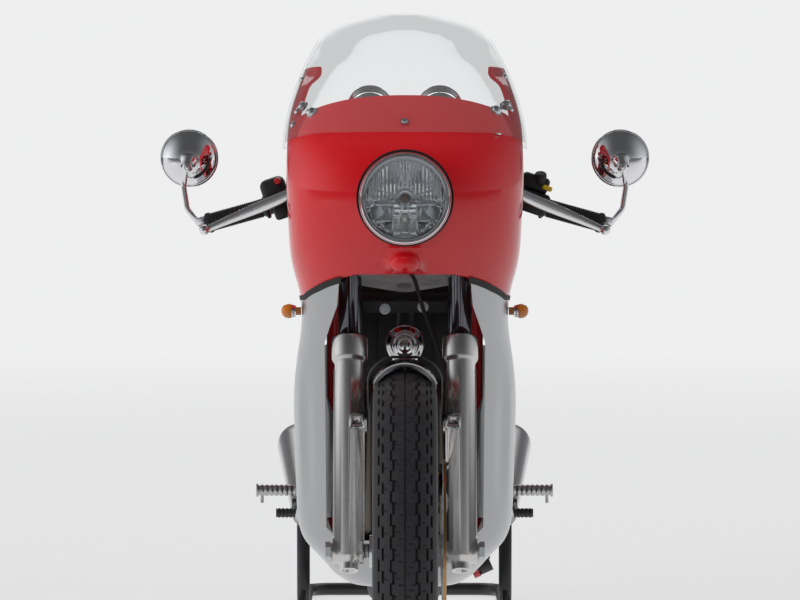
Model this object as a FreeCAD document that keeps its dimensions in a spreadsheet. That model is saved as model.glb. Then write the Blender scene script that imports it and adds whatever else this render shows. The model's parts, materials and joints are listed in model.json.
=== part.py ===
import FreeCAD, Part
import math
import os
import types

import Sketcher
from FreeCAD import Placement, Rotation, Vector

# A fully faired classic racer for the road, held upright on a rear paddock stand.
# Millimetres. X is to the machine's left, the front faces -Y, Z is up from the floor.
# Lengths called "back" are measured rearwards from the front axle.

SIZES = {
    # Chassis layout
    "wheelbase": 1410,
    "rake": 25,
    "fork_offset": 35,
    "rear_lift": 30,
    "stand_reach": 480,
    "fit": 0.2,
    "running_gap": 0.3,
    # Wheels and tyres
    "front_tyre_radius": 317,
    "front_tyre_width": 112,
    "front_rim_width": 70,
    "rear_tyre_radius": 326,
    "rear_tyre_width": 150,
    "rear_rim_width": 100,
    "rim_seat_radius": 228.6,
    "rim_depth": 22,
    "rim_flange_height": 14,
    "rim_flange_wall": 3.5,
    "spoke_radius": 1.8,
    "flange_thickness": 7,
    "front_hub_half": 62,
    "rear_hub_half": 62,
    "hub_radius": 32,
    "hub_flange_radius": 52,
    "hub_flange_half": 34,
    "axle_radius": 10,
    "axle_nut_radius": 14,
    "front_disc_radius": 160,
    "rear_disc_radius": 110,
    "disc_thickness": 5,
    "disc_band": 34,
    # Fork and yokes
    "leg_half_spacing": 97.5,
    "stanchion_radius": 20.5,
    "slider_radius": 26.5,
    "slider_collar_radius": 32,
    "slider_collar_start": 346,
    "slider_top": 393,
    "slider_below_axle": 36,
    "lower_yoke_start": 509,
    "lower_yoke_thickness": 27,
    "upper_yoke_start": 744,
    "upper_yoke_thickness": 24,
    "stanchion_top": 774,
    "yoke_wall": 11,
    "stem_radius": 17,
    "stem_bore_radius": 14,
    "head_tube_wall": 12,
    "head_tube_gap": 0.6,
    # Bars and controls
    "bar_height_on_leg": 708,
    "clamp_height": 30,
    "bar_radius": 11,
    "bar_drop": 19,
    "bar_sweep": 9,
    "bar_length": 272,
    "grip_radius": 16.5,
    "grip_start": 160,
    "mirror_radius": 50,
    "mirror_out": 389,
    "mirror_height": 985,
    "lever_reach": 46,
    # Front mudguard
    "mudguard_radius": 336,
    "mudguard_half_width": 56,
    "mudguard_wall": 2.5,
    "mudguard_ahead": 8,
    "mudguard_behind": 76,
    "hoop_radius": 2.5,
    "hoop_back": 50,
    "slider_lug": 4,
    "brake_hose_radius": 3.5,
    # Fairing
    "fairing_wall": 4,
    "skin_fall": 2.78,
    "flute_depth": 9,
    "nose_half_width": 206.9,
    "seam_half_width": 183.6,
    "screen_wall": 3,
    "trim_thickness": 8,
    "headlight_height": 933,
    "headlight_rim_radius": 80.5,
    "headlight_glass_radius": 69.5,
    "headlight_gasket": 3.5,
    "gauge_radius": 40,
    "gauge_half_spacing": 62,
    "gauge_height": 1075,
    "horn_height": 657,
    "horn_back": 269.7,
    "indicator_back": 222,
    "indicator_height": 720,
    "indicator_out": 207,
    "indicator_radius": 13,
    "indicator_stem_radius": 7,
    # Frame
    "frame_tube_radius": 14,
    "cradle_half_width": 127,
    "rail_half_width": 112,
    "swingarm_inner": 104,
    "swingarm_width": 26,
    "swingarm_height": 50,
    "cradle_inset": 22,
    "fairing_peg_height": 722.5,
    "fairing_peg_radius": 6,
    "engine_front": 446,
    "front_cross_back": 352,
    "front_cross_height": 733,
    "cross_radius": 11,
    "pivot_back": 905,
    "pivot_height": 360,
    "chain_out": 88,
    "rear_sprocket_radius": 84,
    "front_sprocket_radius": 36,
    "front_sprocket_back": 800,
    # Rear end
    "rear_mudguard_radius": 347,
    "rear_mudguard_half_width": 80,
    "rear_mudguard_wall": 3,
    "rear_mudguard_drop": 34,
    "rear_mudguard_ahead": 70,
    "rear_mudguard_behind": 50,
    "shock_low_back": 1330,
    "shock_low_height": 398,
    "shock_high_back": 1190,
    "shock_high_height": 745,
    "shock_neck_back": 1262,
    "shock_neck_height": 575,
    "tail_end_back": 1530,
    "tail_end_height": 860,
    "rear_indicator_back": 1490,
    "rear_indicator_height": 856,
    "rear_indicator_out": 122,
    "rear_indicator_radius": 15,
    "rear_indicator_stem": 83.5,
    "peg_back": 885,
    "peg_height": 329,
    "peg_start": 206,
    "peg_end": 280,
    "peg_radius": 11,
    "peg_plate_out": 160,
    "foot_lever_drop": 24,
    "pedal_back": 700,
    "pedal_height": 306,
    "exhaust_pipe_radius": 18,
    "silencer_start_out": 188,
    "silencer_start_back": 1000,
    "silencer_start_height": 273,
    "silencer_start_radius": 30,
    "silencer_out": 212,
    "silencer_end_back": 1550,
    "silencer_end_height": 350,
    "silencer_end_radius": 46,
    # Stands
    "stand_half_width": 203,
    "stand_tube_radius": 13,
    "stand_upright_top": 240,
    "stand_back": 1400,
    "roller_radius": 22,
    "prop_out": 150,
    "prop_back": 762,
    "prop_height": 200,
    "prop_length": 178,
    "prop_splay": 66,
    "prop_eye_half": 13,
}


class Size:
    """A number that also carries the sheet expression it comes from."""

    def __init__(self, value, text=None):
        self.value = float(value)
        self.text = text if text else repr(round(float(value), 6))

    def __float__(self):
        return self.value

    def __add__(self, other):
        return joined(self, "+", other)

    def __radd__(self, other):
        return joined(other, "+", self)

    def __sub__(self, other):
        return joined(self, "-", other)

    def __rsub__(self, other):
        return joined(other, "-", self)

    def __mul__(self, other):
        return joined(self, "*", other)

    def __rmul__(self, other):
        return joined(other, "*", self)

    def __truediv__(self, other):
        return joined(self, "/", other)

    def __neg__(self):
        return joined(-1, "*", self)


def as_size(number):
    return number if isinstance(number, Size) else Size(number)


def joined(first, sign, second):
    first = as_size(first)
    second = as_size(second)
    results = {
        "+": first.value + second.value,
        "-": first.value - second.value,
        "*": first.value * second.value,
        "/": first.value / second.value if second.value else 0.0,
    }
    return Size(results[sign], "(%s %s %s)" % (first.text, sign, second.text))


def sine(angle):
    return Size(math.sin(math.radians(float(angle))), "sin(%s)" % as_size(angle).text)


def cosine(angle):
    return Size(math.cos(math.radians(float(angle))), "cos(%s)" % as_size(angle).text)


def tangent(angle):
    return Size(math.tan(math.radians(float(angle))), "tan(%s)" % as_size(angle).text)


def distance(p, q):
    gaps = [as_size(b) - as_size(a) for a, b in zip(p, q)]
    value = math.sqrt(sum(gap.value ** 2 for gap in gaps))
    return Size(value, "sqrt(%s)" % " + ".join("(%s)^2" % gap.text for gap in gaps))


doc = FreeCAD.newDocument("cafe_racer")


def fill_sheet(sizes):
    sheet = doc.addObject("Spreadsheet::Sheet", "Sizes")
    named = {}
    for row, (alias, value) in enumerate(sizes.items(), start=1):
        sheet.set("A%d" % row, alias)
        sheet.set("B%d" % row, str(value))
        sheet.setAlias("B%d" % row, alias)
        named[alias] = Size(value, "Sizes." + alias)
    doc.recompute()
    return types.SimpleNamespace(**named)


S = fill_sheet(SIZES)
NODES = {}

FRONT_AXLE_Y = S.front_tyre_radius - (S.front_tyre_radius + S.wheelbase + S.stand_reach) / 2
REAR_AXLE_Z = S.rear_tyre_radius + S.rear_lift
CENTRE = Vector(0, 0, 0)


def back(length):
    """The Y coordinate of a place given as its length behind the front axle."""
    return FRONT_AXLE_Y + length


def vector(point):
    return Vector(float(point[0]), float(point[1]), float(point[2]))


def bind(item, **sizes):
    """Ties properties of an object to sheet expressions."""
    for name, size in sizes.items():
        item.setExpression(name, as_size(size).text)
    return item


def put(item, point, tilt=None):
    """Places an object, leaned back about X by tilt."""
    turn = Rotation(Vector(1, 0, 0), -float(tilt)) if tilt is not None else Rotation()
    item.Placement = Placement(vector(point), turn)
    for axis, size in zip("xyz", point):
        item.setExpression("Placement.Base." + axis, as_size(size).text)
    if tilt is not None:
        item.setExpression("Placement.Rotation.Angle", as_size(tilt).text)
        item.setExpression("Placement.Rotation.Axis.x", "-1")
    return item


def on_fork(item, x=0, behind=0, up=0):
    """Places an object in the fork's frame: Z runs up the legs, Y is square behind them."""
    y = FRONT_AXLE_Y + up * sine(S.rake) + behind * cosine(S.rake)
    z = S.front_tyre_radius + up * cosine(S.rake) - behind * sine(S.rake)
    return put(item, (x, y, z), tilt=S.rake)


def fork_point(x, behind, up):
    """The world place of a point given in the fork's frame."""
    return (
        as_size(x),
        FRONT_AXLE_Y + up * sine(S.rake) + behind * cosine(S.rake),
        S.front_tyre_radius + up * cosine(S.rake) - behind * sine(S.rake),
    )


def named(kind, name):
    return doc.addObject(kind, name)


def rod(name, p, q, radius):
    """A round bar from p to q."""
    item = named("Part::Cylinder", name)
    along = vector(q) - vector(p)
    item.Placement = Placement(vector(p), Rotation(Vector(0, 0, 1), along))
    for axis, size in zip("xyz", p):
        item.setExpression("Placement.Base." + axis, as_size(size).text)
    return bind(item, Radius=radius, Height=distance(p, q))


def taper(name, p, q, radius_p, radius_q):
    """A cone from p to q."""
    item = named("Part::Cone", name)
    along = vector(q) - vector(p)
    item.Placement = Placement(vector(p), Rotation(Vector(0, 0, 1), along))
    for axis, size in zip("xyz", p):
        item.setExpression("Placement.Base." + axis, as_size(size).text)
    return bind(item, Radius1=radius_p, Radius2=radius_q, Height=distance(p, q))


def block(name, low, high):
    """A box from its low corner to its high corner."""
    item = named("Part::Box", name)
    put(item, low)
    spans = [as_size(b) - as_size(a) for a, b in zip(low, high)]
    return bind(item, Length=spans[0], Width=spans[1], Height=spans[2])


def ball(name, centre, radius):
    item = named("Part::Sphere", name)
    put(item, centre)
    return bind(item, Radius=radius)


def fuse(name, items):
    item = named("Part::MultiFuse", name)
    item.Shapes = items
    return item


def cut(name, base, tool):
    item = named("Part::Cut", name)
    item.Base = base
    item.Tool = tool
    return item


def common(name, base, tool):
    item = named("Part::Common", name)
    item.Base = base
    item.Tool = tool
    return item


def together(name, items):
    item = named("Part::Compound", name)
    item.Links = items
    return item


def node(name, item):
    """Names an object as one piece of the machine."""
    item.Label = name
    NODES[name] = item
    return item


def mirrored(item):
    """The same piece on the other side of the machine."""
    twin = named("Part::Mirroring", item.Name + "_twin")
    twin.Source = item
    twin.Base = CENTRE
    twin.Normal = Vector(1, 0, 0)
    return twin


def pair(name, item):
    """A piece and its mirror image as one node."""
    return node(name, together(name + "_pair", [item, mirrored(item)]))


def origin_plane(body, role):
    return [plane for plane in body.Origin.OriginFeatures if plane.Role == role][0]


def draw(sketch, outline):
    """Draws a closed outline; an entry that starts with "arc" is a point the curve passes."""
    corners = [entry for entry in outline if entry[0] != "arc"]
    ends = {}
    step = 0
    for index, entry in enumerate(outline):
        if entry[0] == "arc":
            continue
        following = outline[(index + 1) % len(outline)]
        start = Vector(float(entry[0]), float(entry[1]), 0)
        target = corners[(corners.index(entry) + 1) % len(corners)]
        finish = Vector(float(target[0]), float(target[1]), 0)
        if following[0] == "arc":
            middle = Vector(float(following[1]), float(following[2]), 0)
            curve = Part.Arc(start, middle, finish)
            number = sketch.addGeometry(curve, False)
            circle = sketch.Geometry[number]
            sketch.addConstraint(Sketcher.Constraint("Radius", number, circle.Radius))
        else:
            number = sketch.addGeometry(Part.LineSegment(start, finish), False)
        first = 1 if sketch.getPoint(number, 1).distanceToPoint(start) < 1e-4 else 2
        ends[step] = (number, first, 3 - first)
        for kind, size in (("DistanceX", entry[0]), ("DistanceY", entry[1])):
            rule = Sketcher.Constraint(kind, -1, 1, number, first, float(size))
            place = sketch.addConstraint(rule)
            sketch.setExpression("Constraints[%d]" % place, as_size(size).text)
        step += 1
    for index in range(step):
        number, first, last = ends[index]
        other, start, _ = ends[(index + 1) % step]
        sketch.addConstraint(Sketcher.Constraint("Coincident", number, last, other, start))


def sketched(name, role, outline):
    """A body with one sketch of the outline on an origin plane."""
    body = named("PartDesign::Body", name)
    sketch = body.newObject("Sketcher::SketchObject", name + "_sketch")
    sketch.AttachmentSupport = [(origin_plane(body, role), "")]
    sketch.MapMode = "FlatFace"
    draw(sketch, outline)
    return body, sketch


def turned(name, outline, point=(0, 0, 0), about="X"):
    """A body revolved about its own X or Y axis, or Z on an upright sketch."""
    role, axis = {
        "X": ("XZ_Plane", "H_Axis"),
        "Z": ("XZ_Plane", "V_Axis"),
        "Y": ("XY_Plane", "V_Axis"),
    }[about]
    body, sketch = sketched(name, role, outline)
    solid = body.newObject("PartDesign::Revolution", name + "_turned")
    solid.Profile = sketch
    solid.ReferenceAxis = (sketch, [axis])
    solid.Angle = 360
    sketch.Visibility = False
    put(body, point)
    return body


def padded(name, role, outline, thickness, point=(0, 0, 0)):
    """A body padded evenly to both sides of an origin plane."""
    body, sketch = sketched(name, role, outline)
    solid = body.newObject("PartDesign::Pad", name + "_pad")
    solid.Profile = sketch
    solid.Midplane = True
    bind(solid, Length=thickness)
    put(body, point)
    return body


def route(points, bend):
    """Straight runs joined by tangent arcs of one bend radius."""
    corners = [vector(point) for point in points]
    bend = float(bend)
    edges = []
    start = corners[0]
    for before, corner, after in zip(corners, corners[1:], corners[2:]):
        into = (corner - before).normalize()
        out = (after - corner).normalize()
        half_turn = into.getAngle(out) / 2
        cut_back = bend * math.tan(half_turn)
        first = corner - into * cut_back
        last = corner + out * cut_back
        inward = (out - into).normalize()
        middle = corner + inward * (bend / math.cos(half_turn) - bend)
        edges.append(Part.LineSegment(start, first).toShape())
        edges.append(Part.Arc(first, middle, last).toShape())
        start = last
    edges.append(Part.LineSegment(start, corners[-1]).toShape())
    return Part.Wire(edges)


def tube(name, points, radius, bend=60):
    """A round tube swept along a bent route."""
    spine = named("Part::Feature", name + "_route")
    spine.Shape = route(points, bend)
    profile = named("Part::Circle", name + "_section")
    along = vector(points[1]) - vector(points[0])
    profile.Placement = Placement(vector(points[0]), Rotation(Vector(0, 0, 1), along))
    bind(profile, Radius=radius)
    item = named("Part::Sweep", name)
    item.Sections = [profile]
    item.Spine = (spine, ["Edge%d" % (n + 1) for n in range(len(spine.Shape.Edges))])
    item.Solid = True
    item.Frenet = False
    item.Transition = "Right corner"
    return item


def wires_loft(name, wires):
    """A solid lofted through closed wires."""
    sections = []
    for number, wire in enumerate(wires):
        section = named("Part::Feature", "%s_section_%d" % (name, number))
        section.Shape = wire
        sections.append(section)
    item = named("Part::Loft", name)
    item.Sections = sections
    item.Solid = True
    item.Ruled = False
    return item


def oval(at_back, middle, half_width, half_height, squareness=0.8):
    """An upright closed section, rounder as squareness nears 1."""
    points = []
    count = 16
    for step in range(count):
        angle = 2 * math.pi * step / count
        x = half_width * math.copysign(abs(math.cos(angle)) ** squareness, math.cos(angle))
        z = half_height * math.copysign(abs(math.sin(angle)) ** squareness, math.sin(angle))
        points.append(Vector(x, float(back(at_back)), middle + z))
    curve = Part.BSplineCurve()
    curve.interpolate(points, PeriodicFlag=True)
    return Part.Wire([curve.toShape()])


def lofted_ovals(name, sections):
    return wires_loft(name, [oval(*section) for section in sections])


# Skin of the fairing, from the belly up: height, nose back from the axle, half width.
SKIN = [
    (222, 405, 100),
    (240, 372, 126),
    (264, 350, 147),
    (287, 337, 168),
    (313, 328, 187),
    (350, 314, 196),
    (400, 293, 198),
    (450, 270, 199),
    (512, 233, 200),
    (574, 190, 200),
    (640, 148, 194),
    (700, 100, 185),
    (757, 60, 186),
    (799, 38, 196),
    (830, 16, 202),
    (900, -22, 206),
    (950, -28, 208.5),
    (1025, 4, 208),
    (1059, 41, 206),
    (1115, 112, 194),
    (1134, 140, 188),
    (1172, 196, 176),
]
SKIN_REACH = 150
SKIN_REAR = 950

# The leaf-shaped flute pressed into each side of the lower fairing.
FLUTE_LOW = 355
FLUTE_HIGH = 645
FLUTE_STEP = 8

# Windscreen: height, nose back from the axle, half width.
SCREEN = [
    (1012, -8, 211),
    (1059, 38, 209.5),
    (1100, 88, 201),
    (1134, 134, 191.5),
    (1181, 200, 172),
    (1212, 248, 158),
    (1235, 286, 146),
    (1253, 322, 118),
    (1264, 352, 90),
]

NOSE_BLUNTNESS = 2.25
NOSE_STEPS = 12


def fallen(height, at_back):
    """The height of a level line of the skin at a place further back."""
    return height - at_back * float(tangent(S.skin_fall))


def flute(height):
    """How deep the flute is pressed in at a height."""
    if not FLUTE_LOW < height < FLUTE_HIGH:
        return 0.0
    share = (height - FLUTE_LOW) / (FLUTE_HIGH - FLUTE_LOW)
    return float(S.flute_depth) * math.sin(math.pi * share)


def nose_section(height, nose, half_width, reach, rear, dent=0.0):
    """A section with a blunt nose, straight sides and a flat back, lower at its back."""
    side = []
    for step in range(NOSE_STEPS + 1):
        angle = math.pi / 2 * step / NOSE_STEPS
        wide = abs(math.sin(angle)) ** (2 / NOSE_BLUNTNESS)
        deep = 1 - abs(math.cos(angle)) ** (2 / NOSE_BLUNTNESS)
        pressed = dent if step == FLUTE_STEP else 0.0
        side.append((half_width * wide, nose + reach * deep + pressed))
    side.append((half_width, nose + reach * 1.15))
    spots = [(-x, at_back) for x, at_back in reversed(side[1:])] + side
    points = [Vector(x, at_back, fallen(height, at_back)) for x, at_back in spots]
    curve = Part.BSplineCurve()
    curve.interpolate(points)
    right = Vector(half_width, rear, fallen(height, rear))
    left = Vector(-half_width, rear, fallen(height, rear))
    edges = [
        curve.toShape(),
        Part.LineSegment(points[-1], right).toShape(),
        Part.LineSegment(right, left).toShape(),
        Part.LineSegment(left, points[0]).toShape(),
    ]
    wire = Part.Wire(edges)
    wire.translate(Vector(0, float(FRONT_AXLE_Y), 0))
    return wire


def nose_loft(name, rows, outward, reach, rear, lowered=0.0):
    """A solid through level sections, grown outward by a length."""
    wires = []
    for height, nose, half_width in rows:
        level = height - lowered
        grown = half_width + outward
        wires.append(nose_section(level, nose - outward, grown, reach, rear, flute(height)))
    return wires_loft(name, wires)


def nose_shell(name, rows, outer, wall, reach, rear, lowered):
    """A thin skin open at the back: its outside stands outer beyond the given rows."""
    outside = nose_loft(name + "_outside", rows, outer, reach, rear)
    inside = nose_loft(name + "_inside", rows, outer - wall, reach, rear + 50, lowered)
    return cut(name + "_shell", outside, inside)


def side_prism(name, outline, half_width=600):
    """A solid as wide as the machine; its outline of (back, height) falls with the skin."""
    corners = []
    for at_back, height in outline:
        level = as_size(height) - as_size(at_back) * tangent(S.skin_fall)
        corners.append((back(as_size(at_back)), level))
    return padded(name, "YZ_Plane", corners, Size(2 * half_width))


def front_prism(name, outline, start, length):
    """A solid that runs rearwards from a place with the given front outline of (x, height)."""
    corners = [(as_size(x), as_size(height)) for x, height in outline]
    middle = back(start + length / 2)
    return padded(name, "XZ_Plane", corners, as_size(length), (0, middle, 0))


def make_tyre(name, radius, width, rim_width, point):
    """A tyre: round crown, bulged sides and beads on the rim."""
    seat = S.rim_seat_radius + S.fit
    half = width / 2
    bead = rim_width / 2 - S.rim_flange_wall - S.fit
    side = half * 0.93
    low = seat + S.rim_flange_height + 9
    shoulder = radius * 0.905
    outline = [
        (-bead, seat),
        (-bead, seat + S.rim_flange_height + S.fit),
        (-side, low),
        ("arc", -half, (low + shoulder) / 2),
        (-side, shoulder),
        ("arc", 0, radius),
        (side, shoulder),
        ("arc", half, (low + shoulder) / 2),
        (side, low),
        (bead, seat + S.rim_flange_height + S.fit),
        (bead, seat),
    ]
    return node(name, turned(name + "_body", outline, point))


def make_wheel(name, rim_width, hub_half, point):
    """A laced wheel: hub, crossed spokes and a drop-centre rim."""
    seat = S.rim_seat_radius
    half = rim_width / 2
    well = seat - S.rim_depth
    rim = turned(name + "_rim", [
        (-half, seat + S.rim_flange_height),
        (-half, seat - 8),
        (-half + 14, seat - 14),
        (-half + 22, well),
        (half - 22, well),
        (half - 14, seat - 14),
        (half, seat - 8),
        (half, seat + S.rim_flange_height),
        (half - S.rim_flange_wall, seat + S.rim_flange_height),
        (half - S.rim_flange_wall, seat),
        (half - 18, seat - 4),
        (half - 24, well + 4),
        (-half + 24, well + 4),
        (-half + 18, seat - 4),
        (-half + S.rim_flange_wall, seat),
        (-half + S.rim_flange_wall, seat + S.rim_flange_height),
    ])
    bore = S.axle_radius + S.fit
    flange = S.hub_flange_radius
    web = S.hub_flange_half
    hub = turned(name + "_hub", [
        (-hub_half, bore),
        (-hub_half, S.hub_radius - 4),
        (-web - S.flange_thickness, S.hub_radius),
        (-web - S.flange_thickness, flange),
        (-web, flange),
        (-web + 6, S.hub_radius),
        (web - 6, S.hub_radius),
        (web, flange),
        (web + S.flange_thickness, flange),
        (web + S.flange_thickness, S.hub_radius),
        (hub_half, S.hub_radius - 4),
        (hub_half, bore),
    ])
    spokes = []
    count = 36
    for number in range(count):
        side = 1 if number % 2 else -1
        lead = 1 if number % 4 < 2 else -1
        rim_angle = math.radians(360 / count * number)
        hub_angle = rim_angle + lead * math.radians(42)
        inner = float(flange) - 5
        outer = float(well) + 2
        face = web + S.flange_thickness if lead > 0 else web
        p = (
            Size(side) * face,
            Size(inner * math.cos(hub_angle)),
            Size(inner * math.sin(hub_angle)),
        )
        across = side * (7 if lead > 0 else 2.5)
        q = (Size(across), Size(outer * math.cos(rim_angle)), Size(outer * math.sin(rim_angle)))
        spokes.append(rod("%s_spoke_%d" % (name, number), p, q, S.spoke_radius))
    laced = fuse(name + "_laced", [rim] + spokes)
    laced.Refine = False
    wheel = fuse(name + "_fused", [laced, hub])
    wheel.Refine = False
    put(wheel, point)
    return node(name, wheel)


def make_disc(name, radius, hub_out, point, side):
    """A brake disc and its carrier against the hub's end."""
    inner = radius - S.disc_band
    half = S.disc_thickness / 2
    mid = side * (hub_out + half + 4)
    band = turned(name + "_band", [
        (mid - half, inner),
        (mid - half, radius),
        (mid + half, radius),
        (mid + half, inner),
    ])
    near = side * hub_out
    carrier = turned(name + "_carrier", [
        (near, S.axle_radius + 2),
        (near, S.hub_flange_radius - 8),
        (mid - half * side, inner),
        (mid + half * side, inner),
        (near + side * 6, S.hub_flange_radius - 4),
        (near + side * 6, S.axle_radius + 2),
    ])
    holes = []
    for ring, at in enumerate((inner + 10, radius - 9)):
        for number in range(18):
            angle = math.radians(20 * (number + 0.5 * ring))
            y = at * Size(math.cos(angle))
            z = at * Size(math.sin(angle))
            holes.append(rod("%s_hole_%d_%d" % (name, ring, number), (mid - half - 2, y, z),
                             (mid + half + 2, y, z), Size(4)))
    for number in range(6):
        angle = math.radians(60 * number)
        reach = (inner + S.hub_flange_radius) / 2
        y = reach * Size(math.cos(angle))
        z = reach * Size(math.sin(angle))
        holes.append(rod("%s_window_%d" % (name, number), (near, y, z), (mid + side * 10, y, z),
                         (inner - S.hub_flange_radius) * 0.3))
    disc = cut(name + "_drilled", fuse(name + "_fused", [band, carrier]),
               together(name + "_holes", holes))
    put(disc, point)
    return node(name, disc)


def make_wheels():
    front = (Size(0), FRONT_AXLE_Y, S.front_tyre_radius)
    rear = (Size(0), back(S.wheelbase), REAR_AXLE_Z)
    make_tyre("front_tyre", S.front_tyre_radius, S.front_tyre_width, S.front_rim_width, front)
    make_tyre("rear_tyre", S.rear_tyre_radius, S.rear_tyre_width, S.rear_rim_width, rear)
    make_wheel("front_wheel", S.front_rim_width, S.front_hub_half, front)
    make_wheel("rear_wheel", S.rear_rim_width, S.rear_hub_half, rear)
    make_disc("front_disc", S.front_disc_radius, S.front_hub_half, front, 1)
    make_disc("rear_disc", S.rear_disc_radius, S.rear_hub_half, rear, -1)


def make_axles():
    """Axles with their nuts, and the spacer that shows beside the front hub."""
    y = FRONT_AXLE_Y
    z = S.front_tyre_radius
    end = S.leg_half_spacing + S.slider_radius + 2
    axle = rod("front_axle_bar", (-end, y, z), (end, y, z), S.axle_radius)
    spacer = rod(
        "front_spacer",
        (-(S.leg_half_spacing - S.slider_radius - S.fit), y, z),
        (-(S.front_hub_half + S.running_gap), y, z),
        Size(13),
    )
    nut = rod("front_nut", (end, y, z), (end + 12, y, z), S.axle_nut_radius)
    node("front_axle", fuse("front_axle_all", [axle, spacer, nut, mirrored(nut)]))
    y = back(S.wheelbase)
    z = REAR_AXLE_Z
    arm = S.swingarm_inner
    end = arm + S.swingarm_width
    axle = rod("rear_axle_bar", (-end, y, z), (end, y, z), S.axle_radius)
    nut = rod("rear_nut", (end, y, z), (end + 14, y, z), S.axle_nut_radius)
    spacer = rod("rear_spacer", (arm - 1, y, z), (S.chain_out + 12, y, z), Size(15))
    node("rear_axle", fuse("rear_axle_all", [axle, nut, mirrored(nut), spacer, mirrored(spacer)]))


def make_fork():
    """Sliders, stanchions and the two yokes, all square to the steering axis."""
    low = -S.slider_below_axle
    bore = S.stanchion_radius + S.fit
    slider = turned("slider", [
        (0, low + 12),
        (8, low + 12),
        (8, low),
        (16.5, low),
        (17.5, low + 12),
        (S.slider_radius, low + 22),
        (S.slider_radius, S.slider_collar_start),
        (S.slider_collar_radius, S.slider_collar_start + 10),
        (S.slider_collar_radius, S.slider_top),
        (bore, S.slider_top),
        (bore, S.slider_top - 30),
        (0, S.slider_top - 30),
    ], about="Z")
    on_fork(slider, x=S.leg_half_spacing)
    lug = named("Part::Box", "mudguard_lug")
    bind(lug, Length=S.slider_lug + 8, Width=Size(28), Height=Size(30))
    on_fork(lug, S.leg_half_spacing - S.slider_radius - S.slider_lug, -14, 222)
    foot = rod(
        "slider_foot",
        (S.leg_half_spacing - S.slider_radius + 1, FRONT_AXLE_Y, S.front_tyre_radius),
        (S.leg_half_spacing + S.slider_radius + 2, FRONT_AXLE_Y, S.front_tyre_radius),
        S.axle_radius + 12,
    )
    fin = named("Part::Box", "slider_fin")
    bind(fin, Length=Size(5), Width=Size(9), Height=S.slider_collar_start - 36)
    on_fork(fin, S.leg_half_spacing + S.slider_radius - 3, -4.5, 26)
    boss = named("Part::Box", "slider_front_boss")
    bind(boss, Length=Size(27), Width=Size(12), Height=Size(28))
    on_fork(boss, S.leg_half_spacing - S.slider_radius, -S.slider_radius, 218)
    recess = named("Part::Box", "slider_boss_recess")
    bind(recess, Length=Size(15), Width=Size(8), Height=Size(14))
    on_fork(recess, S.leg_half_spacing - S.slider_radius + 6, -S.slider_radius - 4, 225)
    leg = cut("slider_leg", fuse("slider_parts", [slider, lug, foot, fin, boss]), recess)
    hole = rod(
        "slider_axle_hole",
        (S.leg_half_spacing - 60, FRONT_AXLE_Y, S.front_tyre_radius),
        (S.leg_half_spacing + 60, FRONT_AXLE_Y, S.front_tyre_radius),
        S.axle_radius + S.fit,
    )
    pair("fork_sliders", cut("slider_bored", leg, hole))

    stanchion = named("Part::Cylinder", "stanchion")
    start = S.slider_top - 30 + S.fit
    bind(stanchion, Radius=S.stanchion_radius, Height=S.stanchion_top - start)
    on_fork(stanchion, x=S.leg_half_spacing, up=start)
    pair("fork_stanchions", stanchion)

    make_yoke("lower_yoke", S.lower_yoke_start, S.lower_yoke_thickness, 32)
    make_yoke("upper_yoke", S.upper_yoke_start, S.upper_yoke_thickness, 30)


def make_yoke(name, start, thickness, boss):
    """A yoke plate with its leg clamps and, on the lower one, the hollow stem."""
    half = S.leg_half_spacing
    clamp = S.stanchion_radius + S.yoke_wall
    middle = start + thickness / 2
    arm = padded(name + "_plate", "XY_Plane", [
        (-half, -clamp * 0.8),
        (0, S.fork_offset - boss),
        (half, -clamp * 0.8),
        (half, clamp * 0.8),
        (boss * 0.7, S.fork_offset + boss * 0.8),
        (-boss * 0.7, S.fork_offset + boss * 0.8),
        (-half, clamp * 0.8),
    ], thickness)
    on_fork(arm, up=middle)
    pieces = [arm]
    holes = []
    for side in (-1, 1):
        ring = named("Part::Cylinder", "%s_ring_%d" % (name, side + 1))
        bind(ring, Radius=clamp, Height=thickness)
        pieces.append(on_fork(ring, x=half * side, up=start))
        hole = named("Part::Cylinder", "%s_hole_%d" % (name, side + 1))
        bind(hole, Radius=S.stanchion_radius + S.fit, Height=thickness + 20)
        holes.append(on_fork(hole, x=half * side, up=start - 10))
    centre = named("Part::Cylinder", name + "_boss")
    bind(centre, Radius=Size(boss), Height=thickness)
    pieces.append(on_fork(centre, behind=S.fork_offset, up=start))
    if name == "lower_yoke":
        stem = named("Part::Cylinder", name + "_stem")
        length = S.upper_yoke_start - S.lower_yoke_start - S.fit
        bind(stem, Radius=S.stem_radius, Height=length)
        pieces.append(on_fork(stem, behind=S.fork_offset, up=start))
    bore = named("Part::Cylinder", name + "_bore")
    bind(bore, Radius=S.stem_bore_radius, Height=S.stanchion_top)
    holes.append(on_fork(bore, behind=S.fork_offset, up=start - 10))
    if name == "lower_yoke":
        for side in (-1, 1):
            for number, corners in enumerate([
                [(30, 6), (66, -14), (66, -1)],
                [(30, 14), (64, 4), (64, 16)],
                [(28, 24), (64, 21), (40, 42)],
            ]):
                outline = [(Size(side) * x, as_size(behind)) for x, behind in corners]
                pocket = padded("%s_pocket_%d_%d" % (name, side + 1, number), "XY_Plane",
                                outline, Size(30))
                holes.append(on_fork(pocket, up=start))
    node(name, cut(name + "_bored", fuse(name + "_all", pieces), fuse(name + "_holes", holes)))


def bar_point(length, ahead=0.0, above=0.0):
    """A place along the left bar, measured from the leg's centre line."""
    start = fork_point(S.leg_half_spacing, 0, S.bar_height_on_leg)
    across = length * cosine(S.bar_drop)
    return (
        start[0] + across,
        start[1] + across * tangent(S.bar_sweep) - ahead,
        start[2] - length * sine(S.bar_drop) + above,
    )


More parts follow.
